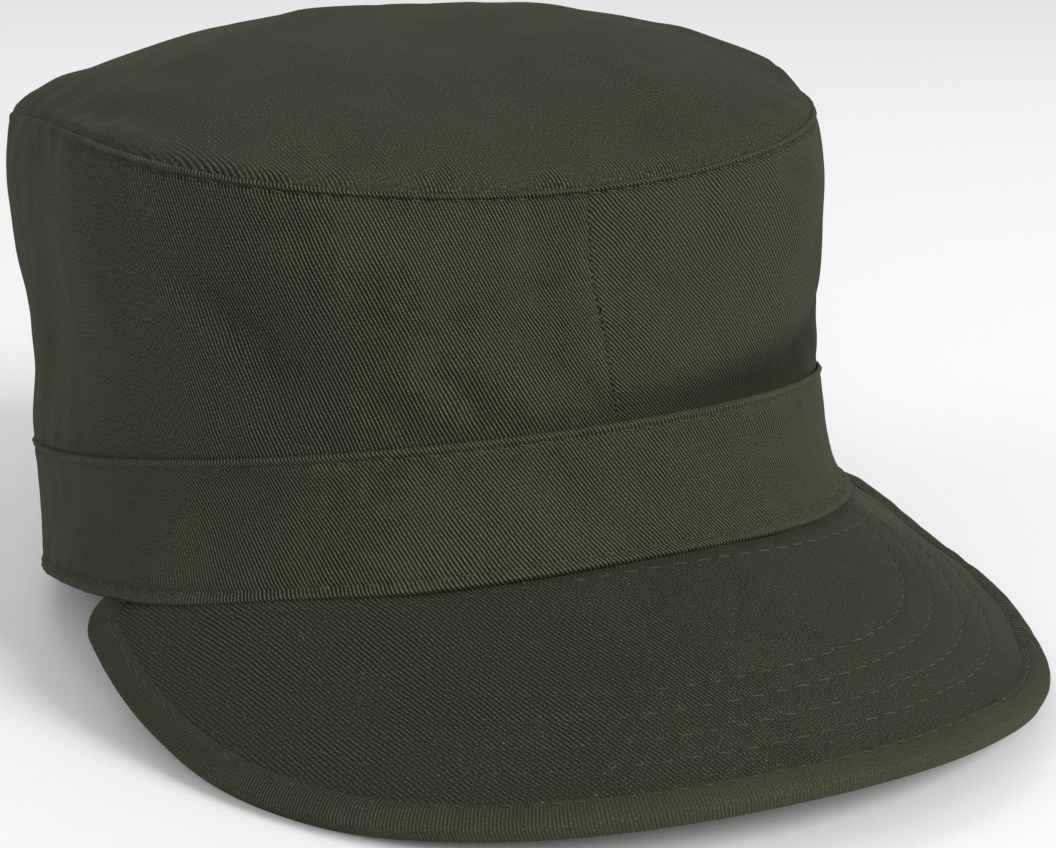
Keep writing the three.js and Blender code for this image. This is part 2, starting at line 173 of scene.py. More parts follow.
# Soft folds of the band, placed the same way, the level a share of the band's height
BAND_FOLDS = table(
    "angle level slant length width lift",
    (31, 0.70, 3, 15, 2.6, -0.6),
    (30, 0.86, 2, 17, 2.4, 0.35),
    (21, 0.36, 7, 17, 2.8, -0.55),
    (24, 0.54, 6, 17, 2.8, 0.35),
    (-49, 0.76, 0, 9, 4.0, -0.7),
    (-70, 0.45, 40, 9, 4.0, -0.6),
    (-58, 0.40, 64, 9, 5.0, 0.4),
    (-8, 0.62, -50, 9, 4.0, -0.45),
    (-20, 0.58, -56, 10, 4.0, -0.4),
    (55, 0.45, 70, 9, 5.0, 0.5),
    (100, 0.5, 60, 14, 5.0, -0.6),
    (140, 0.5, -40, 14, 5.0, -0.6),
    (-105, 0.5, 50, 14, 5.0, -0.6),
    (-150, 0.5, -60, 12, 5.0, -0.6),
)

# Soft folds of the top panel, placed in plan
TOP_FOLDS = table(
    "x y slant length width lift",
    (31, -58, 100, 13, 4.0, 0.8),
    (17, -72, 38, 10, 3.6, -1.2),
    (-17, -70, -72, 9, 4.0, 0.6),
    (-73, -26, 112, 16, 4.5, -1.3),
    (-64, -36, 112, 15, 6.0, 0.8),
    (-34, -64, 150, 18, 8.0, 0.9),
    (48, -40, 60, 22, 9.0, 0.8),
    (66, -6, 88, 26, 13.0, 1.9),
    (-46, 20, 70, 26, 16.0, -1.2),
    (-73, 12, 86, 16, 6.5, 2.1),
    (-12, 44, 0, 26, 20.0, 1.2),
    (30, 60, -40, 20, 6.0, -1.1),
    (-36, 66, 36, 18, 6.0, -1.0),
    (10, -30, 20, 26, 9.0, -0.5),
    (72, -34, 110, 17, 8.0, 2.5),
    (58, -20, 110, 12, 6.0, -1.0),
    (-2, 8, 40, 17, 12.0, 1.3),
)

# How this cap's visor departs from an even arch: a lift round a place in its flat pattern
VISOR_EASES = table(
    "u v reach lift",
    (90, -2, 20, 1.5),
    (84, -40, 13, -0.9),
    (90, -56, 9, -1.6),
    (-68, -24, 22, 1.4),
    (-90, -55, 10, -1.1),
    (50, -8, 28, -0.3),
)

# How the band's foot departs from the visor's arch and from the level behind it, by angle
FOOT_EASES = table(
    "angle spread lift",
    (-106, 15, -1.5),
    (20, 26, -0.25),
)

# How the visor's free edge departs from the even outline, by the share of the way from the
# wearer's right end
RIM_EASES = table(
    "at reach out",
    (0.10, 0.04, 0.25),
    (0.22, 0.045, -0.35),
    (0.31, 0.06, -0.45),
    (0.61, 0.04, -0.25),
    (0.71, 0.05, -0.35),
)

# How the band departs from an even flare, by angle and share of its height
BAND_EASES = table(
    "angle level spread height out",
    (-112, 0.0, 20, 0.16, -1.8),
    (-110, 0.5, 22, 0.35, 0.8),
    (-110, 1.0, 20, 0.20, -0.9),
    (62, 0.1, 14, 0.50, -1.0),
    (60, 0.72, 15, 0.28, 0.8),
    (62, 1.0, 14, 0.12, -0.5),
)

# Stitching
CROWN_PITCH = 4.2
BAND_PITCH = 4.4
VISOR_PITCH = 4.9
SEAM_PITCH = 3.1
JOIN_PITCH = 1.6
THREAD_RADIUS = 0.16
THREAD_SIDES = 6
THREAD_RINGS = 7
STITCH_SWAY = 0.24  # how far a stitch leans to each side of its row
STITCH_BOW = 2.6  # rise of its middle over its ends, in thread radii
STITCH_SINK = 1.7  # how deep its ends lie, in thread radii
STITCH_COVER = 0.7  # share of its pitch that a stitch shows on the face
TOPSTITCH_DROP = 1.9  # below the top seam and below the band's top edge
BAND_STITCH_RISE = 2.2  # above the band's bottom edge
BINDING_STITCH_IN = 5.0  # in from the visor's free edge, as are the rows
VISOR_ROWS = [13.0, 19.0, 25.5, 31.5]
VISOR_ROW_START = 1.2  # of the row beside the band, ahead of it
VISOR_ROW_END = 4.4

# The lie of the twill's ribs in each panel: how steeply they rise at the front, and how that eases
RIB_RIGHT = dict(rise=1.12, ease=0.0062)
RIB_LEFT = dict(rise=1.44, ease=-0.0085)
RIB_BAND = dict(rise=1.17, ease=0.0008)
RIB_CROWDING = 0.0016  # how the ribs close up on the wearer's right, beyond CROWDING_START
CROWDING_START = -32
PRESSED_SPOT = dict(angle=-9, level=0.58, reach=1.6)  # beside the front seam

# How open the binding's ribs are, by the share of the way from the wearer's right end
BINDING_RIBS = table(
    "at clear",
    (0, 2.4), (0.15, 2.0), (0.35, 0.9), (0.5, 0.35), (0.6, 0.3), (0.72, 2.2), (0.84, 3.0), (1, 0.6),
)

# Mesh steps, with finer rows beside the sewn edges
SIDE_STEPS = 540
ROUND_STEPS = 960
TOP_STEPS = 840
VISOR_STEPS = 460
VISOR_DEPTH_STEPS = 132
BINDING_STEPS = 840
STITCH_LINE_STEPS = 2400
RIM_STEPS = 900
SEAM_ROWS = [0, 0.0007, 0.0014, 0.0022, 0.0031, 0.0042, 0.0056]  # shares of a half's way round
EDGE_ROWS = [0.0, 0.2, 0.45, 0.75, 1.05, 1.35, 1.6, 1.8, 2.0, 2.25, 2.55, 2.9, 3.4, 4.0, 4.8, 5.8]
TOP_ROWS = [6.6, 5.8, 5.0, 4.2, 3.5, 2.9, 2.3, 1.8, 1.35, 0.95, 0.6, 0.3]
RIPPLE_WAVES = 14
RIPPLE_RADIUS = 90  # of the round on which the soft relief of wall and band closes behind


def bell(x, spread):
    return np.exp(-((x / spread) ** 2))


def smooth(x, low, high):
    share = np.clip((x - low) / (high - low), 0, 1)
    return share * share * (3 - 2 * share)


def mix(a, b, share):
    return a + (b - a) * share


def unit(v):
    return v / np.maximum(np.linalg.norm(v, axis=-1, keepdims=True), 1e-9)


def column(rows, key):
    return [row[key] for row in rows]


def cubic(x, places, values):
    """A smooth curve through a short table."""
    places, values = np.asarray(places, float), np.asarray(values, float)
    slope = np.gradient(values, places)
    i = np.clip(np.searchsorted(places, x, side="right") - 1, 0, len(places) - 2)
    step = places[i + 1] - places[i]
    u = np.clip((x - places[i]) / step, 0, 1)
    ends = (2 * u**3 - 3 * u**2 + 1) * values[i] + (3 * u**2 - 2 * u**3) * values[i + 1]
    return ends + (u**3 - 2 * u**2 + u) * step * slope[i] + (u**3 - u**2) * step * slope[i + 1]


def ripple(x, y, wavelength, seed):
    """A smooth random relief between about -1 and 1, from waves in chance directions."""
    rng = np.random.default_rng(seed)
    turn = rng.uniform(0, 2 * np.pi, RIPPLE_WAVES)
    scale = 2 * np.pi / (wavelength * rng.uniform(0.7, 1.5, RIPPLE_WAVES))
    shift = rng.uniform(0, 2 * np.pi, RIPPLE_WAVES)
    total = np.zeros(np.broadcast(x, y).shape)
    for a, k, s in zip(turn, scale, shift):
        total += np.cos(k * (x * np.cos(a) + y * np.sin(a)) + s)
    return total / np.sqrt(RIPPLE_WAVES)


def on_round(t, y):
    """Where a point of a strip lies for a relief that closes behind the head."""
    return np.sin(t) * RIPPLE_RADIUS, y - np.cos(t) * RIPPLE_RADIUS


def fold_relief(x, y, folds, place):
    """Sum of a table's folds at x along and y up the cloth. place(row) gives a fold's middle."""
    total = np.zeros(np.broadcast(x, y).shape)
    for row in folds:
        middle_x, middle_y = place(row)
        slant = math.radians(row["slant"])
        along = (x - middle_x) * math.cos(slant) + (y - middle_y) * math.sin(slant)
        aside = (y - middle_y) * math.cos(slant) - (x - middle_x) * math.sin(slant)
        total += row["lift"] * bell(along, row["length"]) * bell(aside, row["width"])
    return total


def round_folds(t, level, folds, height):
    """The folds of a strip round the head, placed by angle and by share of its height."""
    place = lambda row: (math.radians(row["angle"]) * HALF_WIDTH, row["level"] * height)
    return fold_relief(t * HALF_WIDTH, level * height, folds, place)


def stand(points):
    """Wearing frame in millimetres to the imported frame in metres, flat where the cloth rests."""
    tilt = math.radians(REST_TILT)
    x, y, z = points[..., 0], points[..., 1], points[..., 2]
    turned_y = y * math.cos(tilt) + z * math.sin(tilt) + STAND_Y
    turned_z = z * math.cos(tilt) - y * math.sin(tilt) + STAND_Z
    return np.stack([x, turned_y, np.maximum(turned_z, 0)], -1) / 1000


# Surfaces, as functions of the angle round the head, or of a place in the visor's flat pattern
def oval(t, half_width, front, back, front_corner, back_corner):
    s, c = np.sin(t), np.cos(t)
    depth = np.where(c > 0, front, back)
    corner = np.where(c > 0, front_corner, back_corner)
    reach = (np.abs(s / half_width) ** corner + np.abs(c / depth) ** corner) ** (-1 / corner)
    return np.stack([reach * s, -reach * c], -1)


def move_out(plan, distance):
    return plan + unit(plan) * np.asarray(distance)[..., None]


def section_at(level):
    """Half width, front depth and back depth of the side wall."""
    levels = column(CROWN_SECTIONS, "level")
    sizes = (("width", HALF_WIDTH), ("front", FRONT_DEPTH), ("back", BACK_DEPTH))
    return [size * cubic(level, levels, column(CROWN_SECTIONS, key)) for key, size in sizes]


def visor_point(pattern, lift):
    """Where a place of the flat pattern lies on the visor's arch, lifted off it."""
    u, v = pattern[..., 0], pattern[..., 1]
    lift = lift + sum(row["lift"] * bell(np.hypot(u - row["u"], v - row["v"]), row["reach"])
                      for row in VISOR_EASES)
    droop = math.radians(VISOR_DROOP)
    radius = VISOR_ARCH_RADIUS + lift
    rise = radius * np.cos(u / VISOR_ARCH_RADIUS) - VISOR_ARCH_RADIUS
    x = radius * np.sin(u / VISOR_ARCH_RADIUS)
    y = -FRONT_DEPTH - v * math.cos(droop) - rise * math.sin(droop)
    z = VISOR_ROOT - v * math.sin(droop) + rise * math.cos(droop)
    return np.stack([x, y, z], -1)


def pattern_point(plan):
    """The place of the flat pattern that lies over a point in plan."""
    x, y = plan[..., 0], plan[..., 1]
    droop = math.radians(VISOR_DROOP)
    turn = np.arcsin(x / VISOR_ARCH_RADIUS)
    rise = VISOR_ARCH_RADIUS * (np.cos(turn) - 1)
    v = -(FRONT_DEPTH + y + rise * math.sin(droop)) / math.cos(droop)
    return np.stack([VISOR_ARCH_RADIUS * turn, v], -1)


def band_plan(t, level, inset):
    width, front, back = section_at(np.zeros(1))
    near_end = bell(np.abs(t) - math.radians(VISOR_REACH), math.radians(FLARE_SPREAD))
    flare = VISOR_FLARE * near_end
    plan = oval(t, mix(HALF_WIDTH, width, level), mix(FRONT_DEPTH, front, level),
                mix(BACK_DEPTH, back, level), HEAD_CORNER, HEAD_CORNER)
    waist = BAND_WAIST * 4 * level * (1 - level)
    ease = sum(row["out"] * bell(np.degrees(t) - row["angle"], row["spread"])
               * bell(level - row["level"], row["height"]) for row in BAND_EASES)
    return move_out(plan, flare * (1 - level) ** 3 - waist + ease - inset)


def measure_round():
    """Arc length round the middle of the band, in both directions from the front."""
    t = np.linspace(-np.pi, np.pi, 2881)
    along = arc_lengths(band_plan(t, 0.5, 0.0))
    return t, along - along[len(t) // 2]


def arc_lengths(points):
    steps = np.linalg.norm(np.diff(points, axis=0), axis=-1)
    return np.concatenate([[0], np.cumsum(steps)])


ROUND_TURN, ROUND_LENGTH = measure_round()
SEAT_END = math.radians(VISOR_REACH - 3)
SEAT_BLEND = math.radians(16)


def around(t):
    return np.interp(t, ROUND_TURN, ROUND_LENGTH)


def behind_seat(t):
    """0 where the visor is sewn to the band, easing to 1 behind its ends."""
    return smooth(np.abs(t), SEAT_END, SEAT_END + SEAT_BLEND)


def band_foot(t, inset):
    pattern = pattern_point(band_plan(np.clip(t, -SEAT_END, SEAT_END), 0.0, inset))
    seat = visor_point(pattern, 0)[..., 2] + GAP
    foot = mix(seat, BAND_REAR, behind_seat(t))
    return foot + sum(row["lift"] * bell(np.degrees(t) - row["angle"], row["spread"])
                      for row in FOOT_EASES)


def band_point(t, level, inset):
    plan = band_plan(t, level, inset)
    z = mix(band_foot(t, inset), BAND_HEIGHT, level)
    return np.concatenate([plan, z[..., None]], -1)


def seam_height(t, y):
    slope = math.tan(math.radians(TOP_SLOPE))
    return BAND_HEIGHT + CROWN_HEIGHT + y * slope - TOP_SADDLE * np.cos(2 * t)


def drifted(t, level):
    """The front seam isn't quite straight: it leans one way, then the other, down the wall."""
    shift = cubic(level, column(SEAM_DRIFT, "level"), column(SEAM_DRIFT, "shift")) / HALF_WIDTH
    return t + shift * bell(t * HALF_WIDTH, 22)


def wall_relief(t, level):
    x, y = t * HALF_WIDTH, level * CROWN_HEIGHT
    folds = round_folds(t, level, CROWN_FOLDS, CROWN_HEIGHT)
    soft = 0.17 * ripple(*on_round(t, y), 26, 3) + 0.06 * ripple(x, y, 11, 5)
    return (folds + soft) * smooth(level, 0, 0.05) * (1 - smooth(level, 0.9, 0.985))


def wall_point(t, level, inset=0.0, relief=0.0):
    t = drifted(t, level)
    width, front, back = section_at(level)
    plan = oval(t, width, front, back, mix(HEAD_CORNER, TOP_FRONT_CORNER, level),
                mix(HEAD_CORNER, TOP_BACK_CORNER, level))
    tuck = CROWN_TUCK * (1 - smooth(level * CROWN_HEIGHT, 0, SEAM_ALLOWANCE))
    plan = move_out(plan, wall_relief(t, level) + relief - tuck - inset)
    z = mix(BAND_HEIGHT, seam_height(t, plan[..., 1]), level)
    return np.concatenate([plan, z[..., None]], -1)


def top_relief(plan):
    x, y = plan[..., 0], plan[..., 1]
    folds = fold_relief(x, y, TOP_FOLDS, lambda row: (row["x"], row["y"]))
    return folds + 0.3 * ripple(x, y, 30, 7) + 0.1 * ripple(x, y, 12, 9)


def top_height(t, reach):
    """Plan and height of the dome without its relief, at a share of the way out to the seam."""
    seam = wall_point(t, np.ones(1))
    plan = seam[..., :2] * reach[..., None]
    z = mix(BAND_HEIGHT + CROWN_HEIGHT, seam[..., 2], reach)
    return plan, z + DOME_HEIGHT * (1 - reach**DOME_FULLNESS)


# Meshes
def placed(name, data):
    thing = bpy.data.objects.new(name, data)
    bpy.context.scene.collection.objects.link(thing)
    return thing


def finish_mesh(name, points, faces, loops_uv=None, marks={}):
    """A mesh object from arrays: cloth coordinates in the UV map weave, marks as attributes."""
    mesh = bpy.data.meshes.new(name)
    mesh.from_pydata(points.reshape(-1, 3).tolist(), [], [list(map(int, f)) for f in faces])
    mesh.validate()
    if loops_uv is not None:
        layer = mesh.uv_layers.new(name="weave")
        layer.uv.foreach_set("vector", np.asarray(loops_uv, np.float32).ravel())
    for key, values in marks.items():
        attribute = mesh.attributes.new(key, "FLOAT", "POINT")
        attribute.data.foreach_set("value", np.asarray(values, np.float32).ravel())
    mesh.polygons.foreach_set("use_smooth", [True] * len(mesh.polygons))
    mesh.update()
    fix_normals(mesh)
    return placed(name, mesh)


def fix_normals(mesh):
    """Turns the skin to face out where its volume says that it faces in."""
    points = np.empty(len(mesh.vertices) * 3)
    mesh.vertices.foreach_get("co", points)
    mesh.calc_loop_triangles()
    triangles = np.empty(len(mesh.loop_triangles) * 3, int)
    mesh.loop_triangles.foreach_get("vertices", triangles)
    a, b, c = (points.reshape(-1, 3)[triangles.reshape(-1, 3)[:, k]] for k in range(3))
    if np.einsum("ij,ij->i", a, np.cross(b, c)).sum() < 0:
        mesh.flip_normals()


def skin(sections, uv, corners, spans):
    """Quads between neighbouring sections, each a closed loop of points, with their corners in
    the order given. uv has one more entry than the loop has points."""
    count, size = sections.shape[:2]
    i, j = np.meshgrid(np.arange(spans), np.arange(size), indexing="ij")
    places = [(i + a, j + b) for a, b in corners]
    quads = np.stack([a % count * size + b % size for a, b in places], -1).reshape(-1, 4)
    return quads, np.stack([uv[a, b] for a, b in places], -2).reshape(-1, 4, 2)


def swept(name, sections, uv, marks, wrap):
    """A closed skin over sections, with flat ends if they don't wrap. uv has one more section
    where they wrap."""
    count, size = sections.shape[:2]
    spans = count if wrap else count - 1
    quads, quad_uv = skin(sections, uv, ((0, 0), (1, 0), (1, 1), (0, 1)), spans)
    a, b, c = (sections.reshape(-1, 3)[quads[:, k]] for k in (0, 1, 2))
    outwards = a + b + c - 3 * sections.mean((0, 1))
    if np.einsum("ij,ij->i", np.cross(b - a, c - a), outwards).sum() < 0:
        quads, quad_uv = quads[:, ::-1], quad_uv[:, ::-1]
    faces, loops = quads.tolist(), quad_uv.reshape(-1, 2)
    if not wrap:
        rim = np.arange(size)
        turned = quads[0, 0] < quads[0, 1] <= size
        for span, back in ((0, turned), (spans, not turned)):
            loop = rim[::-1] if back else rim
            faces.append((span * size + loop).tolist())
            loops = np.concatenate([loops, uv[span, loop]])
    return finish_mesh(name, stand(sections), faces, loops, marks)


def domed(name, loops, uv, marks):
    """A closed skin whose loops run round an axis, closed at its first and its last loop."""
    count, size = loops.shape[:2]
    quads, quad_uv = skin(loops, uv, ((0, 0), (0, 1), (1, 1), (1, 0)), count - 1)
    rim = np.arange(size)
    faces = quads.tolist() + [rim[::-1].tolist(), ((count - 1) * size + rim).tolist()]
    loops_uv = np.concatenate([quad_uv.reshape(-1, 2), uv[0, :-1][::-1], uv[-1, :-1]])
    return finish_mesh(name, stand(loops), faces, loops_uv, marks)


# Relief of the sewn edges, as a function of the distance from the edge
def hole_pull(phase, cover):
    """How hard the thread pulls the cloth in, most at the two ends of each stitch."""
    start = phase - np.floor(phase)
    ends = sum(bell(start - end, 0.13) for end in (0, 1, cover, cover - 1))
    return 0.55 + 0.6 * np.clip(ends, 0, 1)


def topstitched(d, drop, phase):
    """A turned edge with its row of stitches at the distance drop: strip, groove, soft rise."""
    pull = hole_pull(phase, STITCH_COVER)
    puff = 1 + 0.35 * np.cos(2 * np.pi * (phase - 0.5 * STITCH_COVER))
    strip = 0.5 * bell(d - 0.32 * drop, 0.36 * drop) * (0.8 + 0.25 * puff)
    groove = -0.5 * pull * bell(d - drop, 0.42)
    return strip + groove + 0.14 * bell(d - 1.8 * drop, 0.7 * drop)


# Marks on the cloth: clear is how open its ribs are, worn how much lighter or darker it is, from
# wear and from painted light and shade
def ribbed(u, v, rise, ease):
    """Cloth coordinates in which the ribs run straight, from the lengths round and up the panel."""
    closer = u - RIB_CROWDING * np.minimum(u - CROWDING_START, 0) ** 2
    return np.stack(np.broadcast_arrays(closer, v * (rise + ease * np.clip(u, -90, 70))), -1)


def clarity(u, v, left, right):
    """Ribs crisp over the front, brushed flatter to the sides and back."""
    crisp = smooth(u, left - 20, left + 14) * (1 - 0.38 * smooth(u, -8, right))
    crisp = crisp * (1 - 0.8 * smooth(u, right + 4, right + 40))
    patchy = 1 + 0.12 * ripple(u, v, 17, 81)
    return (0.14 + 0.86 * crisp) * patchy


def dimpled(t, level):
    """Share of the ribs' depth left in the pressed spot."""
    aside = (t - math.radians(PRESSED_SPOT["angle"])) * HALF_WIDTH
    above = (level - PRESSED_SPOT["level"]) * CROWN_HEIGHT
    return 1 - 0.8 * bell(np.hypot(aside, above), PRESSED_SPOT["reach"])


def build_side(side):
    """Half of the side wall, from front seam to back seam, its lower allowance inside the band."""
    seam_edge = GAP / 12 / FRONT_DEPTH
    share = np.concatenate([SEAM_ROWS, np.linspace(0, 1, SIDE_STEPS + 1)[4:]])
    t = (side * mix(seam_edge, math.pi - seam_edge, share))[:, None]
    degrees = np.degrees(t)
    along = np.abs(around(t))
    from_seam = np.minimum(along, abs(around(side * math.pi)) - along)
    top_rows = 1 - np.array(EDGE_ROWS[::-1]) / CROWN_HEIGHT
    levels = np.concatenate([np.linspace(0, top_rows[0] - 0.015, 50), top_rows])[None, :]
    below = (1 - levels) * CROWN_HEIGHT

    # Relief: the strip under the top seam, flattened at the wearer's right, gathers, the seam
    flat_end = 1 - 0.8 * smooth(-degrees, 58, 84)
    relief = topstitched(below, TOPSTITCH_DROP, around(t) / CROWN_PITCH) * flat_end
    relief = relief - 0.5 * bell(below, 0.28)
    gathers = 0.16 * ripple(along * side, below * 0.35, 7.5, 21) * bell(below - 3, 6)
    gathers += 0.16 * ripple(along * side, levels * 20, 9, 22) * bell(levels * CROWN_HEIGHT - 4, 7)
    pull = 1 + 0.6 * np.cos(2 * np.pi * levels * CROWN_HEIGHT / SEAM_PITCH + side)
    seam = 0.08 * bell(from_seam - 1.6, 1.1) - 0.03 * bell(from_seam, 0.3)
    seam = seam - 0.14 * pull * bell(from_seam - 0.6, 0.5)
    outer = wall_point(t, levels, relief=relief + gathers + seam)
    outer[..., 2] -= WALL_SINK
    inner_levels = levels[:, ::4][:, ::-1]
    inner = wall_point(t, inner_levels, CROWN_CLOTH)
    inner[..., 2] -= WALL_SINK + 0.6 * smooth(inner_levels, 0.97, 1)
    tucked = 1 - SEAM_ALLOWANCE / BAND_HEIGHT
    low = np.array([tucked, (1 + tucked) / 2])[None, :]
    sections = np.concatenate([
        band_point(t, low, CROWN_TUCK), outer, inner,
        band_point(t, low[:, ::-1], CROWN_TUCK + CROWN_CLOTH),
    ], 1)
    v = np.concatenate([sections[..., 2], sections[:, :1, 2]], 1) - BAND_HEIGHT
    u = np.broadcast_to(around(t), v.shape)
    uv = ribbed(u, v, **(RIB_LEFT if side > 0 else RIB_RIGHT))

    # Marks: lighter crest of the strip under the top seam with painted shade below it, spots along
    # the seams, painted light and shade on the folds, painted shade in the crease over the band at
    # the wearer's left
    face = slice(low.size, low.size + levels.size)
    uneven = 1 + 0.5 * ripple(along * side, below * 0.5, 6, 23)
    # The strip's crest lighter, with painted shade on its lower half above the stitches
    edges = 1.2 * bell(below - 0.25 * TOPSTITCH_DROP, 0.5)
    edges = (edges - 1.8 * uneven * bell(below - 0.75 * TOPSTITCH_DROP, 0.5)) * flat_end
    edges = edges + 2.4 * (pull - 1) * bell(from_seam - 0.5, 0.5)
    edges = edges + 0.25 * bell(from_seam - 1.6, 1.2)
    folds = round_folds(t, levels, CROWN_FOLDS, CROWN_HEIGHT)
    # Painted shade in the crease over the band, and in a patch higher up at 53 degrees
    crease = (levels - 0.03) * CROWN_HEIGHT - 0.07 * around(t)
    crease = 6.0 * bell(degrees - 30, 28) * bell(crease, 7)
    crease = crease + 2.8 * bell(degrees - 53, 13) * bell(levels - 0.36, 0.18)
    wear_and_painted_light = np.zeros(sections.shape[:2])
    wear_and_painted_light[:, face] = edges
    # Painted light and shade: lighter on the folds' ridges, darker in their hollows
    wear_and_painted_light[:, face] += 0.4 * folds * smooth(levels, 0, 0.04)
    wear_and_painted_light[:, face] -= crease
    clear = clarity(u[:, :-1], v[:, :-1], -84, 30)
    clear[:, face] *= dimpled(t, levels)
    name = "crown_side_left" if side > 0 else "crown_side_right"
    return swept(name + "_cloth", sections, uv, dict(wear_and_painted_light=wear_and_painted_light, clear=clear), False)


def build_top():
    """The domed top, its edge drawn into the seam and its allowance turned down inside the wall."""
    t = np.linspace(-np.pi, np.pi, TOP_STEPS, endpoint=False)[None, :]
    radius = np.linalg.norm(wall_point(t, np.ones(1))[..., :2], axis=-1).mean()
    from_rim = np.concatenate([np.linspace(radius, 7.5, 62), TOP_ROWS])[:, None]
    reach = 1 - from_rim / radius
    reach[0] = 0.004
    plan, z = top_height(t, reach)
    relief = top_relief(plan) * smooth(from_rim, 0.3, 4.5)
    rim = 0.55 * bell(from_rim - 3.2, 2.6) - 1.3 * bell(from_rim, 0.8)
    gathers = 0.2 * ripple(t * radius, from_rim * 0.4, 8, 31) * bell(from_rim - 4, 5)
    outer = np.concatenate([plan, (z + relief + rim + gathers)[..., None]], -1)

    allowance = []
    near, far = CROWN_CLOTH + GAP, 2 * CROWN_CLOTH + GAP
    for inset, depth in ((near, TURN_DEPTH), (near, TURN_END), (far, TURN_END), (far, TURN_DEPTH)):
        row = wall_point(t, np.ones(1), inset)
        row[..., 2] -= depth
        allowance.append(row)
    inner_reach = reach[::-1][::3]
    inner_plan, inner_z = top_height(t, np.minimum(inner_reach, 0.975))
    inner_fade = smooth((1 - inner_reach) * radius, 0.3, 4.5)
    inner_z = inner_z + top_relief(inner_plan) * inner_fade - TOP_SKIN
    inner = np.concatenate([inner_plan, inner_z[..., None]], -1)
    loops = np.concatenate([outer, *allowance, inner], 0)
    loops = np.concatenate([loops, loops[:, :1]], 1)

    wear_and_painted_light = np.zeros(loops.shape[:2])
    wear_and_painted_light[:len(from_rim)] = 0.35 * bell(from_rim - 2.5, 2.2)
    hidden = np.full(len(loops) - len(from_rim), 9.0)
    near_rim = bell(np.concatenate([from_rim[:, 0], hidden]), 6.0)[:, None]
    turn = np.degrees(np.arctan2(loops[..., 0], -loops[..., 1]))
    front = smooth(turn, -62, -40) * (1 - smooth(turn, 12, 34))
    patchy = np.clip(0.6 + 0.7 * ripple(loops[..., 0], loops[..., 1], 12, 83), 0, 1.3)
    clear = 0.07 + 0.75 * near_rim * front * patchy
    marks = dict(wear_and_painted_light=wear_and_painted_light[:, :-1], clear=clear[:, :-1])
    return domed("crown_top_cloth", loops[:, :-1], loops[..., :2], marks)


def band_relief(t, level):
    x, y = t * HALF_WIDTH, level * BAND_HEIGHT
    folds = round_folds(t, level, BAND_FOLDS, BAND_HEIGHT)
    soft = 0.14 * ripple(*on_round(t, y), 22, 13) + 0.07 * ripple(x, y, 9, 15)
    from_top, from_foot = (1 - level) * BAND_HEIGHT, level * BAND_HEIGHT
    hold = smooth(from_top, 1, 4) * smooth(from_foot, 1, 4)
    phase = around(t) / BAND_PITCH
    top_edge = 0.75 * topstitched(from_top, TOPSTITCH_DROP, phase) - 0.4 * bell(from_top, 0.35)
    foot_edge = topstitched(from_foot, BAND_STITCH_RISE, phase) - 0.55 * bell(from_foot, 0.4)
    foot_edge = foot_edge + 0.35 * bell(from_foot - 0.9, 1.0)
    proud = 0.12 * bell(from_top, 5)
    gathers = 0.12 * ripple(x, y * 0.4, 8, 17) * (bell(from_foot - 3, 5) + bell(from_top - 3, 5))
    return (folds + soft) * hold + top_edge + foot_edge + proud + gathers


def build_band():
    """The doubled strip round the head, folded over at its top and bottom edges."""
    t = np.linspace(-np.pi, np.pi, ROUND_STEPS, endpoint=False)[:, None]
    degrees = np.degrees(t)
    edge = np.array(EDGE_ROWS) / BAND_HEIGHT
    middle = np.linspace(edge[-1], 1 - edge[-1], 18)[1:-1]
    levels = np.concatenate([edge, middle, 1 - edge[::-1]])[None, :]
    outer = band_point(t, levels, 0.0)
    outer = outer + radial(outer) * band_relief(t, levels)[..., None]
    top = band_point(t, np.ones((1, 1)), 0.4 * CROWN_TUCK)
    top[..., 2] += 0.1
    inner_levels = np.array([0.985, 0.9, 0.6, 0.3, 0.1, 0.02])[None, :]
    thickness = mix(BAND_CLOTH, 0.6 * CROWN_TUCK, smooth(inner_levels, 0.2, 0.6))
    inner = band_point(t, inner_levels, thickness)
    foot = band_point(t, np.zeros((1, 1)), 0.55 * BAND_CLOTH)
    foot[..., 2] -= FOOT_FOLD * (1 - behind_seat(t))
    sections = np.concatenate([outer, top, inner, foot], 1)
    v = (np.concatenate([levels[0], [1.03], inner_levels[0], [-0.03, 0]]) * BAND_HEIGHT)[None, :]
    u = around(np.append(t[:, 0], np.pi)[:, None])

    face = slice(0, levels.size)
    from_top, from_foot = (1 - levels) * BAND_HEIGHT, levels * BAND_HEIGHT
    folds = round_folds(t, levels, BAND_FOLDS, BAND_HEIGHT)
    wear_and_painted_light = np.zeros(sections.shape[:2])
    wear_and_painted_light[:, face] = 0.9 * bell(from_top - 0.8, 0.9) + 0.8 * bell(from_foot - 0.9, 1.1)
    # Painted light and shade: lighter on the folds' ridges, darker in their hollows
    wear_and_painted_light[:, face] += 0.5 * folds * smooth(levels, 0, 0.1)
    # Lighter round 22 degrees to the wearer's right, darker round 12 degrees to the left
    wear_and_painted_light[:, face] += 0.45 * bell(degrees + 22, 15) - 0.5 * bell(degrees - 12, 15)
    clear = clarity(u[:-1], v[:, :-1], -86, 36) * 0.88
    return swept("band_cloth", sections, ribbed(u, v, **RIB_BAND), dict(wear_and_painted_light=wear_and_painted_light, clear=clear),
                 True)


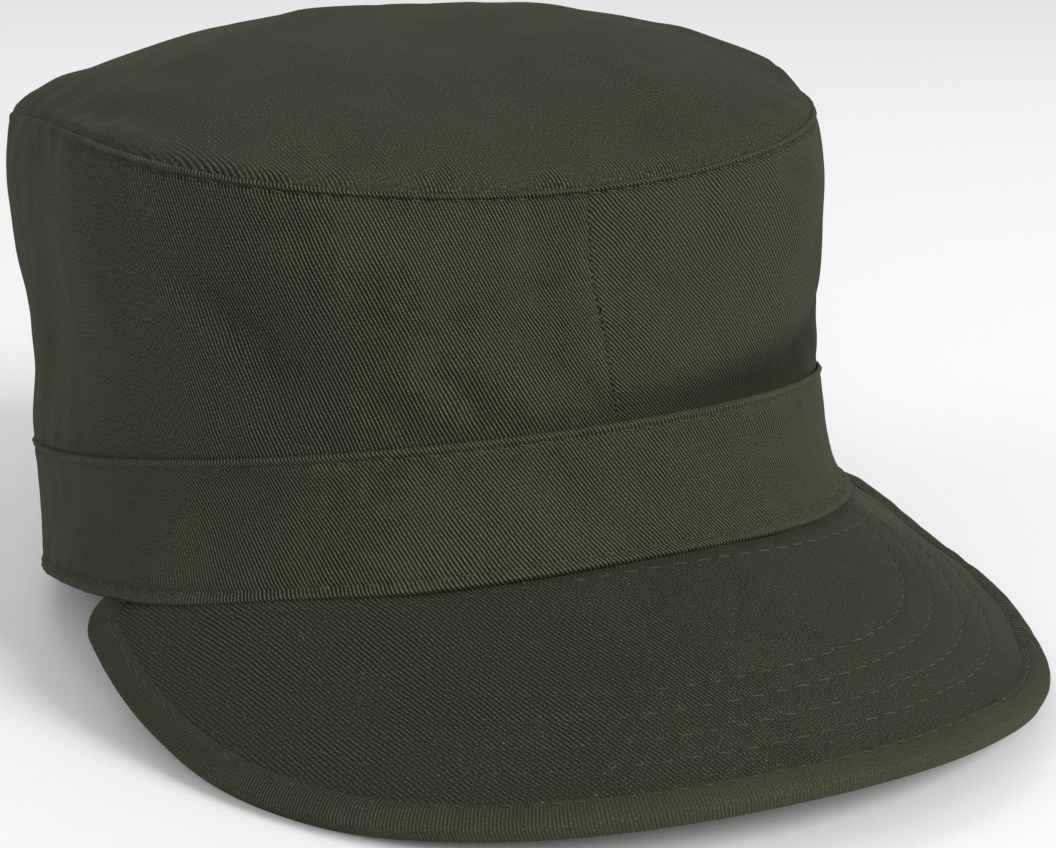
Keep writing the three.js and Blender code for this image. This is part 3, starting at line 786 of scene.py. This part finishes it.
# Visor in the flat: its free edge, fitted to its length and to the band at its ends
def visor_edge():
    raw, at, heading = [np.zeros(2)], np.zeros(2), 0.0
    for arc in VISOR_ARCS:
        turn = math.radians(arc["turn"]) / arc["chords"]
        chord = 2 * arc["radius"] * VISOR_LENGTH * math.sin(turn / 2)
        for _ in range(arc["chords"]):
            ahead = heading + turn / 2
            at = at + chord * np.array([math.cos(ahead), -math.sin(ahead)])
            heading += turn
            raw.append(at)
    reach = np.array(math.radians(VISOR_REACH))
    foot = oval(reach, HALF_WIDTH, FRONT_DEPTH, BACK_DEPTH, HEAD_CORNER, HEAD_CORNER)
    end = pattern_point(move_out(foot, VISOR_FLARE))
    spread = np.array([end[0] / at[0], (end[1] - VISOR_LENGTH) / at[1]])
    half = np.array(raw) * spread + np.array([0, VISOR_LENGTH])
    run_on = half[-1] + unit(half[-1] - half[-2]) * (BAND_CLOTH + 2 * GAP)
    half = np.concatenate([half, [run_on]])
    return np.concatenate([(half[1:] * [-1, 1])[::-1], half])


def eased_edge(edge):
    """The free edge as this cap has it."""
    share = arc_lengths(edge) / arc_lengths(edge)[-1]
    out = sum(row["out"] * bell(share - row["at"], row["reach"]) for row in RIM_EASES)
    return edge - inward(edge) * out[:, None]


def resampled(points, count):
    at = arc_lengths(points)
    even = np.linspace(0, at[-1], count)
    return np.stack([np.interp(even, at, points[:, k]) for k in range(points.shape[1])], -1)


def inward(edge):
    ahead = unit(np.gradient(edge, axis=0))
    return np.stack([ahead[:, 1], -ahead[:, 0]], -1)


def distance_to(points, line):
    """Least distance of each point to a line of short chords."""
    flat = points.reshape(-1, 2)
    best = np.full(len(flat), 1e9)
    for a, b in zip(line[:-1], line[1:]):
        span = b - a
        share = np.clip(((flat - a) @ span) / max(span @ span, 1e-9), 0, 1)
        best = np.minimum(best, np.linalg.norm(flat - a - share[:, None] * span, axis=1))
    return best.reshape(points.shape[:-1])


def visor_span(count):
    return np.linspace(math.radians(-VISOR_REACH), math.radians(VISOR_REACH), count)


def ahead_of_band(t, ahead):
    """The line in the flat pattern that runs ahead of the band's foot."""
    return pattern_point(band_plan(t, 0.0, -ahead))


def row_ahead(t):
    """How far ahead of the band the visor's inner row of stitches runs."""
    return mix(VISOR_ROW_START, VISOR_ROW_END, smooth(t, math.radians(-25), math.radians(30)))


RIM = eased_edge(resampled(visor_edge(), 360))
SEAM_TURN = visor_span(VISOR_STEPS)
SEAM = ahead_of_band(SEAM_TURN, -VISOR_TUCK)
INNER_ROW = ahead_of_band(visor_span(160), row_ahead(visor_span(160)))[4:-2]


def visor_swell(pattern, from_rim):
    """Quilting between the rows, and the dip where the seam draws the visor under the band."""
    lift = np.zeros(from_rim.shape)
    bounds = [BINDING_WIDTH, *VISOR_ROWS]
    for low, high in zip(bounds[:-1], bounds[1:]):
        share = np.clip((from_rim - low) / (high - low), 0, 1)
        lift += QUILT_SWELL * np.sin(np.pi * share) ** 0.8 * (share > 0) * (share < 1)
    for row in VISOR_ROWS:
        lift -= ROW_SINK * bell(from_rim - row, 0.5)
    lift -= ROW_SINK * bell(distance_to(pattern, INNER_ROW), 0.5)
    lift += 0.12 * smooth(from_rim, VISOR_ROWS[-1], VISOR_ROWS[-1] + 5)
    t = np.interp(pattern[..., 0], SEAM[:, 0], SEAM_TURN)
    tucked = smooth(t, math.radians(-50), math.radians(-15))
    lift -= SEAM_DIP * tucked * bell(distance_to(pattern, SEAM) - 2.2, 1.8)
    return lift + 0.1 * ripple(pattern[..., 0], pattern[..., 1], 18, 41)


def build_visor():
    """The stiffened peak: two faces of twill, quilted by its rows of stitches."""
    plate = resampled(RIM + inward(RIM) * (BINDING_CLOTH + 0.5 * GAP), VISOR_STEPS)
    share = np.linspace(0, 1, VISOR_DEPTH_STEPS)[None, :, None]
    grid = mix(plate[:, None, :], SEAM[:, None, :], share)
    from_rim = distance_to(grid, RIM)
    lift = visor_swell(grid, from_rim)
    under_grid = grid[:, ::-1][:, ::3]
    under_lift = -0.6 * lift[:, ::-1][:, ::3] - VISOR_THICKNESS
    sections = np.concatenate([visor_point(grid, lift), visor_point(under_grid, under_lift)], 1)
    uv = np.concatenate([grid, under_grid, grid[:, :1]], 1)

    face = slice(0, VISOR_DEPTH_STEPS)
    x, y = sections[..., 0], sections[..., 1]
    ridge = sum(bell(from_rim - row - 1.4, 1.0) for row in VISOR_ROWS)
    wear_and_painted_light = np.zeros(sections.shape[:2])
    # Lighter strips beside the rows; painted light on the visor's end at the wearer's left and on a
    # patch beside the band's end
    wear_and_painted_light[:, face] = 0.22 * ridge + 1.3 * smooth(grid[..., 0], 58, 88)
    wear_and_painted_light[:, face] += 1.5 * bell(grid[..., 0] - 82, 13) * bell(grid[..., 1] + 36, 16)
    clear = mix(0.64, 0.1, smooth(x, -55, 66)) * (1 + 0.2 * ripple(x, y, 16, 85))
    clear[:, face] *= 0.55 + 0.45 * smooth(from_rim, 7, 30)
    return swept("visor_cloth", sections, uv, dict(wear_and_painted_light=wear_and_painted_light, clear=clear), False)


def build_binding():
    """The bias strip folded round the visor's free edge: its face, and its inside on the core."""
    line = resampled(RIM, BINDING_STEPS)
    along = arc_lengths(line)[:, None]
    share = along / along[-1]
    half_core = VISOR_THICKNESS / 2
    radius = BINDING_CLOTH
    flat = np.array([BINDING_WIDTH, 6.3, 6.0, 5.6, 5.2, 4.9, 4.6, 4.2, 3.7, 3.1, 2.4, 1.8])
    turn = np.radians([90, 75, 60, 45, 30, 15, 0])
    upper_in = np.concatenate([flat, radius - radius * np.cos(turn)])[None, :]
    upper_up = np.concatenate([np.full(len(flat), radius), radius * np.sin(turn)])[None, :]

    pull = 1 + 0.5 * np.cos(2 * np.pi * along / BAND_PITCH)
    groove = -0.14 * pull * bell(upper_in - BINDING_STITCH_IN, 0.5)
    groove = groove - 1.2 * bell(upper_in - BINDING_WIDTH, 0.3)
    puff = 0.22 * bell(upper_in - 2.8, 1.7)
    soft = 0.12 * ripple(along, upper_in, 9, 51)
    rise = upper_up + (groove + puff + soft) * np.where(upper_in > 1.3, 1, 0.4)
    rise = rise * mix(1, 0.3, smooth(upper_in, 4.2, BINDING_WIDTH))
    rise = rise * mix(0.3, 1, smooth(np.minimum(along, along[-1] - along), 1.0, 9.0))
    ruffle = np.cos(2 * np.pi * (along / RUFFLE_PITCH + 0.1 * upper_in))
    ruffle = ruffle * bell(share - RUFFLE_AT, 0.07) * smooth(upper_in, 0.2, 2)
    rise = rise + RUFFLE_RISE * ruffle
    scallop = 0.14 * ripple(along, 0, 6, 53) * bell(upper_in - BINDING_WIDTH, 1.0)
    top_in = upper_in + scallop
    low_in = np.broadcast_to(upper_in[:, ::-1], top_in.shape)
    low_up = np.broadcast_to(-(upper_up + puff)[:, ::-1], top_in.shape)
    skin_in = np.concatenate([top_in, low_in[:, 1:]], 1)
    skin_up = np.concatenate([rise + half_core, (low_up - half_core)[:, 1:]], 1)
    core_in = np.array([6.3, 3.5, 1.3, 0.9, 0.9, 1.3, 3.5, 6.3])
    core_up = np.array([-1, -1, -1, -0.7, 0.7, 1, 1, 1]) * (half_core + 0.05)
    inside = (BINDING_STEPS, len(core_in))
    places_in = np.concatenate([skin_in, np.broadcast_to(core_in, inside)], 1)
    places_up = np.concatenate([skin_up, np.broadcast_to(core_up, inside)], 1)
    pattern = line[:, None, :] + inward(line)[:, None, :] * places_in[..., None]
    sections = visor_point(pattern, places_up - half_core)
    across = arc_lengths(np.stack([places_in[0], places_up[0]], -1))
    across = np.append(across, across[-1] + 1)
    uv = np.stack(np.broadcast_arrays(along, across[None, :]), -1)

    wear_and_painted_light = np.zeros(sections.shape[:2])
    wear_and_painted_light[:, :skin_in.shape[1]] = 0.5 * bell(skin_in - 0.4, 1.5) + 0.2 * bell(skin_in - 6.2, 0.6)
    # Painted light and shade on the ruffle's puckers, and painted shade towards the wearer's right
    # end
    wear_and_painted_light[:, :upper_in.size] += 1.8 * ruffle - 0.8 * (1 - smooth(share, 0.1, 0.35))
    open_ribs = cubic(share, column(BINDING_RIBS, "at"), column(BINDING_RIBS, "clear"))
    clear = np.broadcast_to(open_ribs, sections.shape[:2])
    return swept("visor_binding_cloth", sections, uv, dict(wear_and_painted_light=wear_and_painted_light, clear=clear), False)


# Threads: each stitch is a short bowed rod that dives into the cloth at both ends
def rod_faces():
    faces = []
    for ring in range(THREAD_RINGS - 1):
        for side in range(THREAD_SIDES):
            a, b = (ring * THREAD_SIDES + s for s in (side, (side + 1) % THREAD_SIDES))
            faces.append([a, b, b + THREAD_SIDES, a + THREAD_SIDES])
    rim = list(range(THREAD_SIDES))
    return faces + [rim[::-1], [(THREAD_RINGS - 1) * THREAD_SIDES + s for s in rim]]


def stitches(name, rows, seed):
    """rows holds (points, outward, phase, cover, thickness): a stitch starts where the phase is
    whole and covers a share of the way to the next; thickness is a share of the usual thread's."""
    rng = np.random.default_rng(seed)
    turn = np.linspace(0, 2 * np.pi, THREAD_SIDES, endpoint=False)[None, :, None]
    bow = np.sin(np.linspace(0, np.pi, THREAD_RINGS))
    one = rod_faces()
    tubes, faces = [], []
    for points, outward, at, cover, thickness in rows:
        thickness = np.broadcast_to(thickness, at.shape)
        if at[-1] < at[0]:
            points, outward, at, thickness = (a[::-1] for a in (points, outward, at, thickness))
        for start in np.arange(math.ceil(at[0]), math.floor(at[-1]) - 1):
            length = cover * rng.uniform(0.92, 1.06)
            begin = start + rng.uniform(-0.03, 0.03)
            where = begin + np.linspace(0, length, THREAD_RINGS)
            spine = np.stack([np.interp(where, at, points[:, k]) for k in range(3)], -1)
            out = unit(np.stack([np.interp(where, at, outward[:, k]) for k in range(3)], -1))
            aside = unit(np.cross(unit(np.gradient(spine, axis=0)), out))
            sway = (STITCH_SWAY + rng.uniform(-0.1, 0.1)) * np.linspace(-1, 1, THREAD_RINGS)
            radius = THREAD_RADIUS * np.interp(begin, at, thickness) * rng.uniform(0.9, 1.1)
            rise = (bow * STITCH_BOW - STITCH_SINK) * radius
            spine = spine + out * rise[:, None] + aside * sway[:, None]
            thin = radius * (0.55 + 0.45 * bow)
            ring = aside[:, None, :] * np.cos(turn) + out[:, None, :] * np.sin(turn)
            tube = spine[:, None, :] + ring * thin[:, None, None]
            base = len(tubes) * THREAD_RINGS * THREAD_SIDES
            tubes.append(tube.reshape(-1, 3))
            faces += [[base + corner for corner in face] for face in one]
    return finish_mesh(name, stand(np.concatenate(tubes)), faces)


def radial(points):
    return unit(points * [1, 1, 0])


def visor_normals(pattern):
    return unit(visor_point(pattern, 1.0) - visor_point(pattern, 0.0))


def crown_stitches():
    """The row under the top seam, and a fine row at each side of the front and back seams."""
    t = np.linspace(-np.pi, np.pi, STITCH_LINE_STEPS)
    level = np.full(t.shape, 1 - TOPSTITCH_DROP / CROWN_HEIGHT)
    line = wall_point(t, level, relief=-0.28)
    line[:, 2] -= WALL_SINK
    rows = [(line, radial(line), around(t) / CROWN_PITCH, STITCH_COVER, 1.0)]
    levels = np.linspace(0.02, 0.955, 240)
    for middle, side in ((0.0, -1), (0.0, 1), (math.pi, -1), (-math.pi, 1)):
        turn = np.full(levels.shape, middle + side * 0.55 / HALF_WIDTH)
        line = wall_point(turn, levels, relief=-0.1)
        line[:, 2] -= WALL_SINK
        rows.append((line, radial(line), levels * CROWN_HEIGHT / SEAM_PITCH + 0.5 * side, 0.5, 0.9))
    return stitches("crown_stitches", rows, 61)


def band_stitches():
    """The rows along both edges of the band, and the short one of its join at the right."""
    t = np.linspace(-np.pi, np.pi, STITCH_LINE_STEPS)
    rows = []
    for level in (1 - TOPSTITCH_DROP / BAND_HEIGHT, BAND_STITCH_RISE / BAND_HEIGHT):
        levels = np.full(t.shape, level)
        line = band_point(t, levels, 0.0)
        line = line + radial(line) * (band_relief(t, levels).mean() + 0.02)
        rows.append((line, radial(line), around(t) / BAND_PITCH, STITCH_COVER, 1.0))
    join_height = 0.34
    levels = np.linspace(0.02, join_height, 60)
    turn = np.radians(mix(-74.0, -78.5, levels / join_height))
    line = band_point(turn, levels, 0.0)
    line = line + radial(line) * band_relief(turn, levels)[:, None]
    rows.append((line, radial(line), levels * BAND_HEIGHT / JOIN_PITCH, 0.98, 0.7))
    return stitches("band_stitches", rows, 67)


def visor_stitches():
    """The visor's rows on both faces, thinner and sunk towards the wearer's right and the rear."""
    fine = resampled(RIM, RIM_STEPS)
    rows = []
    for distance in VISOR_ROWS:
        line = fine + inward(fine) * distance
        x, y = visor_point(line, 0.0)[:, :2].T
        band = np.linalg.norm(band_plan(np.arctan2(x, -y), 0.0, -0.4), axis=-1)
        keep = (np.hypot(x, y) > band) & (distance_to(line, RIM) > distance - 0.05)
        rows.append((line[keep], VISOR_PITCH, 0.8))
    rows.append((INNER_ROW, VISOR_PITCH * 1.06, 0.82))
    made = []
    for line, pitch, cover in rows:
        line = resampled(line, 700)
        lift = visor_swell(line, distance_to(line, RIM))
        open_row = smooth(line[:, 0], -45, 25) * (1 - 0.8 * smooth(-line[:, 1], 4, 40))
        for face in (1, -1):
            above = lift + mix(-0.09, 0.02, open_row)
            height = above if face > 0 else -VISOR_THICKNESS - 0.6 * lift
            made.append((visor_point(line, height), face * visor_normals(line),
                         arc_lengths(line) / pitch, cover, mix(0.6, 0.95, open_row)))
    return stitches("visor_stitches", made, 71)


def binding_stitches():
    """The row along the binding on both faces, short of its ends."""
    line = resampled(RIM, RIM_STEPS)
    pattern = line + inward(line) * BINDING_STITCH_IN
    short = slice(12, -12)
    made = []
    for face in (1, -1):
        height = 0.74 * BINDING_CLOTH if face > 0 else -VISOR_THICKNESS - BINDING_CLOTH
        points = visor_point(pattern, height)
        out, phase = face * visor_normals(pattern), arc_lengths(line) / BAND_PITCH
        made.append((points[short], out[short], phase[short], 0.62, 0.9))
    return stitches("binding_stitches", made, 73)


# Materials
SHADE_DEEP = (0.0035, 0.0039, 0.0011, 1)  # in the furrows of the twill
SHADE_HIGH = (0.118, 0.1225, 0.073, 1)  # on its best-lit ribs
YARN_PITCH = 0.52  # of the floats along a rib
BUMP_DEPTH = 0.00022  # metres

# Each cloth: tint is how light it is, wale the angle of its diagonal ribs in degrees, pitch their
# distance, and contrast, grain and specks how strongly its ribs, its fuzz and its lint show
TWILLS = table(
    "name tint wale pitch contrast grain specks",
    ("crown", 0.245, -61, 0.735, 1.7, 3.2, 0.25),
    ("top", 0.212, -80, 0.8, 1.5, 4.2, 0.25),
    ("band", 0.263, -61, 0.735, 1.7, 3.6, 0.25),
    ("visor", 0.192, 76, 0.77, 1.4, 5.2, 0.9),
    ("binding", 0.28, 84, 0.68, 0.4, 2.7, 0.25),
)


def put(node, values):
    for socket, value in values.items():
        node.inputs[socket].default_value = value


class Graph:
    """A new material, with short names for its nodes."""

    def __init__(self, name):
        self.material = bpy.data.materials.new(name)
        self.material.use_nodes = True
        self.tree = self.material.node_tree
        self.shader = self.tree.nodes["Principled BSDF"]

    def node(self, kind, **settings):
        node = self.tree.nodes.new("ShaderNode" + kind)
        for key, value in settings.items():
            setattr(node, key, value)
        return node

    def link(self, value, socket):
        if isinstance(value, bpy.types.NodeSocket):
            self.tree.links.new(value, socket)
        else:
            socket.default_value = value

    def math(self, kind, *values):
        node = self.node("Math", operation=kind)
        for value, socket in zip(values, node.inputs):
            self.link(value, socket)
        return node.outputs[0]

    def mul(self, a, b):
        return self.math("MULTIPLY", a, b)

    def madd(self, a, b, c):
        return self.math("MULTIPLY_ADD", a, b, c)

    def noise(self, vector, scale, detail, rough=0.5):
        node = self.node("TexNoise")
        self.link(vector, node.inputs["Vector"])
        put(node, {"Scale": scale, "Detail": detail, "Roughness": rough})
        return node.outputs["Fac"]

    def mark(self, name):
        return self.node("Attribute", attribute_type="GEOMETRY", attribute_name=name).outputs["Fac"]

    def place(self):
        return self.node("TexCoord").outputs["Object"]

    def colour(self, share, low, high):
        """Gives the shader a colour between two."""
        node = self.node("Mix", data_type="RGBA")
        for value, socket in ((share, "Factor"), (low, "A"), (high, "B")):
            self.link(value, node.inputs[socket])
        self.tree.links.new(node.outputs["Result"], self.shader.inputs["Base Color"])

    def ramp(self, value, low, high):
        node = self.node("MapRange", interpolation_type="SMOOTHSTEP")
        self.link(value, node.inputs["Value"])
        put(node, {"From Min": low, "From Max": high})
        return node.outputs["Result"]


def twill(name, tint, wale, pitch, contrast, grain, specks):
    """Cotton twill: diagonal ribs, the yarn floats along them, fuzz, soft clouds and lint."""
    g = Graph(name + "_twill_cloth")
    flat = g.node("UVMap", uv_map="weave").outputs["UV"]
    split = g.node("SeparateXYZ")
    g.link(flat, split.inputs["Vector"])
    u, v = split.outputs["X"], split.outputs["Y"]
    turn = math.radians(wale)
    across = g.madd(u, math.sin(turn), g.mul(v, -math.cos(turn)))
    along = g.madd(u, math.cos(turn), g.mul(v, math.sin(turn)))
    across = g.madd(g.noise(flat, 0.02, 1.0), 4.0, across)
    across = g.madd(g.noise(flat, 0.11, 2.0), 0.7, across)
    count = g.math("DIVIDE", across, pitch)
    rib = g.math("SINE", g.mul(count, 2 * math.pi))
    step = g.madd(g.math("FLOOR", count), 0.5, g.math("DIVIDE", along, YARN_PITCH))
    yarn = g.math("SINE", g.mul(step, 2 * math.pi))
    fine = g.noise(flat, 3.3, 1.0, 0.6)
    uneven = g.noise(flat, 0.3, 3.0, 0.6)
    cloud = g.noise(flat, 0.05, 3.0, 0.55)
    lint = g.ramp(g.noise(flat, 1.1, 0.0), 0.76, 0.84)
    clear = g.mark("clear")

    # The shade grows as the exponent of the sum of all these swings
    depth = g.mul(clear, g.madd(uneven, 1.1, 0.45))
    swing = g.mul(rib, g.mul(depth, contrast))
    swing = g.madd(yarn, g.mul(depth, 0.13 * contrast), swing)
    swing = g.madd(g.math("SUBTRACT", fine, 0.5), grain, swing)
    swing = g.madd(g.math("SUBTRACT", cloud, 0.5), 0.34, swing)
    # Wear, with painted light and shade, from each piece's marks
    swing = g.madd(g.mark("wear_and_painted_light"), 0.2, swing)
    swing = g.madd(lint, specks, swing)
    swing = g.math("SUBTRACT", swing, g.mul(g.mul(depth, depth), 0.22 * contrast**2))
    g.colour(g.mul(g.math("EXPONENT", swing), tint), SHADE_DEEP, SHADE_HIGH)

    height = g.madd(yarn, 0.12, g.mul(rib, 0.5))
    height = g.mul(height, g.madd(clear, 0.8, 0.12))
    raised = g.node("Bump")
    put(raised, {"Strength": 0.6, "Distance": BUMP_DEPTH})
    g.link(g.madd(fine, 0.5, height), raised.inputs["Height"])
    g.link(raised.outputs["Normal"], g.shader.inputs["Normal"])
    put(g.shader, {"Roughness": 0.95, "Specular IOR Level": 0.12, "Sheen Weight": 0.03,
                   "Sheen Roughness": 0.5, "Sheen Tint": (0.62, 0.66, 0.5, 1)})
    return g.material


def thread_material(name, colour):
    g = Graph(name)
    lint = g.noise(g.place(), 1500.0, 3.0, 0.6)
    patch = g.noise(g.place(), 60.0, 2.0)
    dark, light = (tuple(c * k for c in colour) + (1,) for k in (0.5, 1.6))
    g.colour(g.madd(patch, 0.6, g.mul(lint, 0.5)), dark, light)
    put(g.shader, {"Roughness": 0.85, "Specular IOR Level": 0.2})
    return g.material


def sew(piece, material):
    piece.data.materials.append(material)
    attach(piece, "root")


def dress(piece, node, slot_name, material, **cloth):
    sew(piece, material)
    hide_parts(node)


cloths = {row["name"]: twill(**row) for row in TWILLS}
thread = thread_material("olive_thread", (0.045, 0.0475, 0.0285))
visor_thread = thread_material("dark_olive_thread", (0.054, 0.057, 0.035))

dress(build_top(), "crown_top", "top_twill", cloths["top"],
      flat=(0.187, 0.199), held="stretched", area=0.0303)
for side, node in ((1, "crown_side_left"), (-1, "crown_side_right")):
    dress(build_side(side), node, "crown_twill", cloths["crown"],
          flat=(0.272, 0.084), held="stretched", area=0.0199)
dress(build_band(), "band", "band_twill", cloths["band"], flat=(0.571, 0.0285), held="stretched")
dress(build_visor(), "visor", "visor_twill", cloths["visor"],
      flat=(0.184, 0.128), held="stretched", area=0.0137)
dress(build_binding(), "visor_binding", "binding_twill", cloths["binding"],
      flat=(0.34, 0.0165), held="folded")

sew(crown_stitches(), thread)
sew(band_stitches(), thread)
sew(visor_stitches(), visor_thread)
sew(binding_stitches(), visor_thread)


# Floor, light and camera
FLOOR_SIZE = 12  # metres, as in the rest of this part
WORLD_LIGHT = 0.44
SOFTBOX_SIZE = 1.5
SOFTBOX_DISTANCE = 2.6
AIM = Vector((0, 0, 0.06))
SOFTBOXES = table(
    "name azimuth elevation power",
    ("key", 32, 30, 55),
    ("by_the_camera", -26, 22, 22),
    ("behind", 170, 45, 12),
    ("rim", -115, 30, 10),
)

CAMERA_AZIMUTH = -26.31
CAMERA_ELEVATION = 12.11
CAMERA_ROLL = -1.48
CAMERA_PLACE = (-0.21666, -0.43322, 0.17203)
FOCAL_PX = 2354.8
IMAGE_PX = (1056, 848)
AXIS_PX = (475.3, 297.8)  # where the camera's axis meets the image
SENSOR = 36.0


def aim(thing, azimuth, elevation, roll=0.0):
    """Turns a lamp or camera to look in from an azimuth, 0 in front of the cap and 90 at its left,
    all in degrees. Gives the way out to it."""
    turn, rise = math.radians(azimuth), math.radians(elevation)
    away = Vector((math.sin(turn) * math.cos(rise), -math.cos(turn) * math.cos(rise),
                   math.sin(rise)))
    level = (-away).to_track_quat("-Z", "Y").to_matrix()
    thing.rotation_mode = "QUATERNION"
    rolled = level @ Matrix.Rotation(math.radians(roll), 3, "Z")
    thing.rotation_quaternion = rolled.to_quaternion()
    return away


def studio():
    bpy.ops.mesh.primitive_plane_add(size=FLOOR_SIZE)
    floor = bpy.context.object
    floor.name = "floor"
    g = Graph("floor_paper")
    g.colour(g.noise(g.place(), 300.0, 3.0, 0.6), (0.86, 0.86, 0.86, 1), (0.9, 0.9, 0.9, 1))
    put(g.shader, {"Roughness": 0.95, "Specular IOR Level": 0.1})
    floor.data.materials.append(g.material)
    world = bpy.data.worlds.new("studio")
    bpy.context.scene.world = world
    world.use_nodes = True
    put(world.node_tree.nodes["Background"], {"Color": (1, 1, 1, 1), "Strength": WORLD_LIGHT})


def softbox(name, azimuth, elevation, power):
    """A round lamp that faces the cap."""
    light = bpy.data.lights.new(name, "AREA")
    light.shape = "DISK"
    light.size = SOFTBOX_SIZE
    light.energy = power
    holder = placed(name, light)
    holder.location = AIM + aim(holder, azimuth, elevation) * SOFTBOX_DISTANCE


def place_camera():
    """The camera at the place and with the framing of the reference photo."""
    data = bpy.data.cameras.new("camera")
    camera = placed("camera", data)
    aim(camera, CAMERA_AZIMUTH, CAMERA_ELEVATION, CAMERA_ROLL)
    camera.location = CAMERA_PLACE
    data.sensor_width = SENSOR
    data.lens = SENSOR * FOCAL_PX / IMAGE_PX[0]
    data.shift_x = (IMAGE_PX[0] / 2 - AXIS_PX[0]) / IMAGE_PX[0]
    data.shift_y = (AXIS_PX[1] - IMAGE_PX[1] / 2) / IMAGE_PX[0]
    data.clip_start = 0.01
    bpy.context.scene.camera = camera


studio()
bpy.context.scene.view_settings.view_transform = "Standard"
for row in SOFTBOXES:
    softbox(**row)
place_camera()
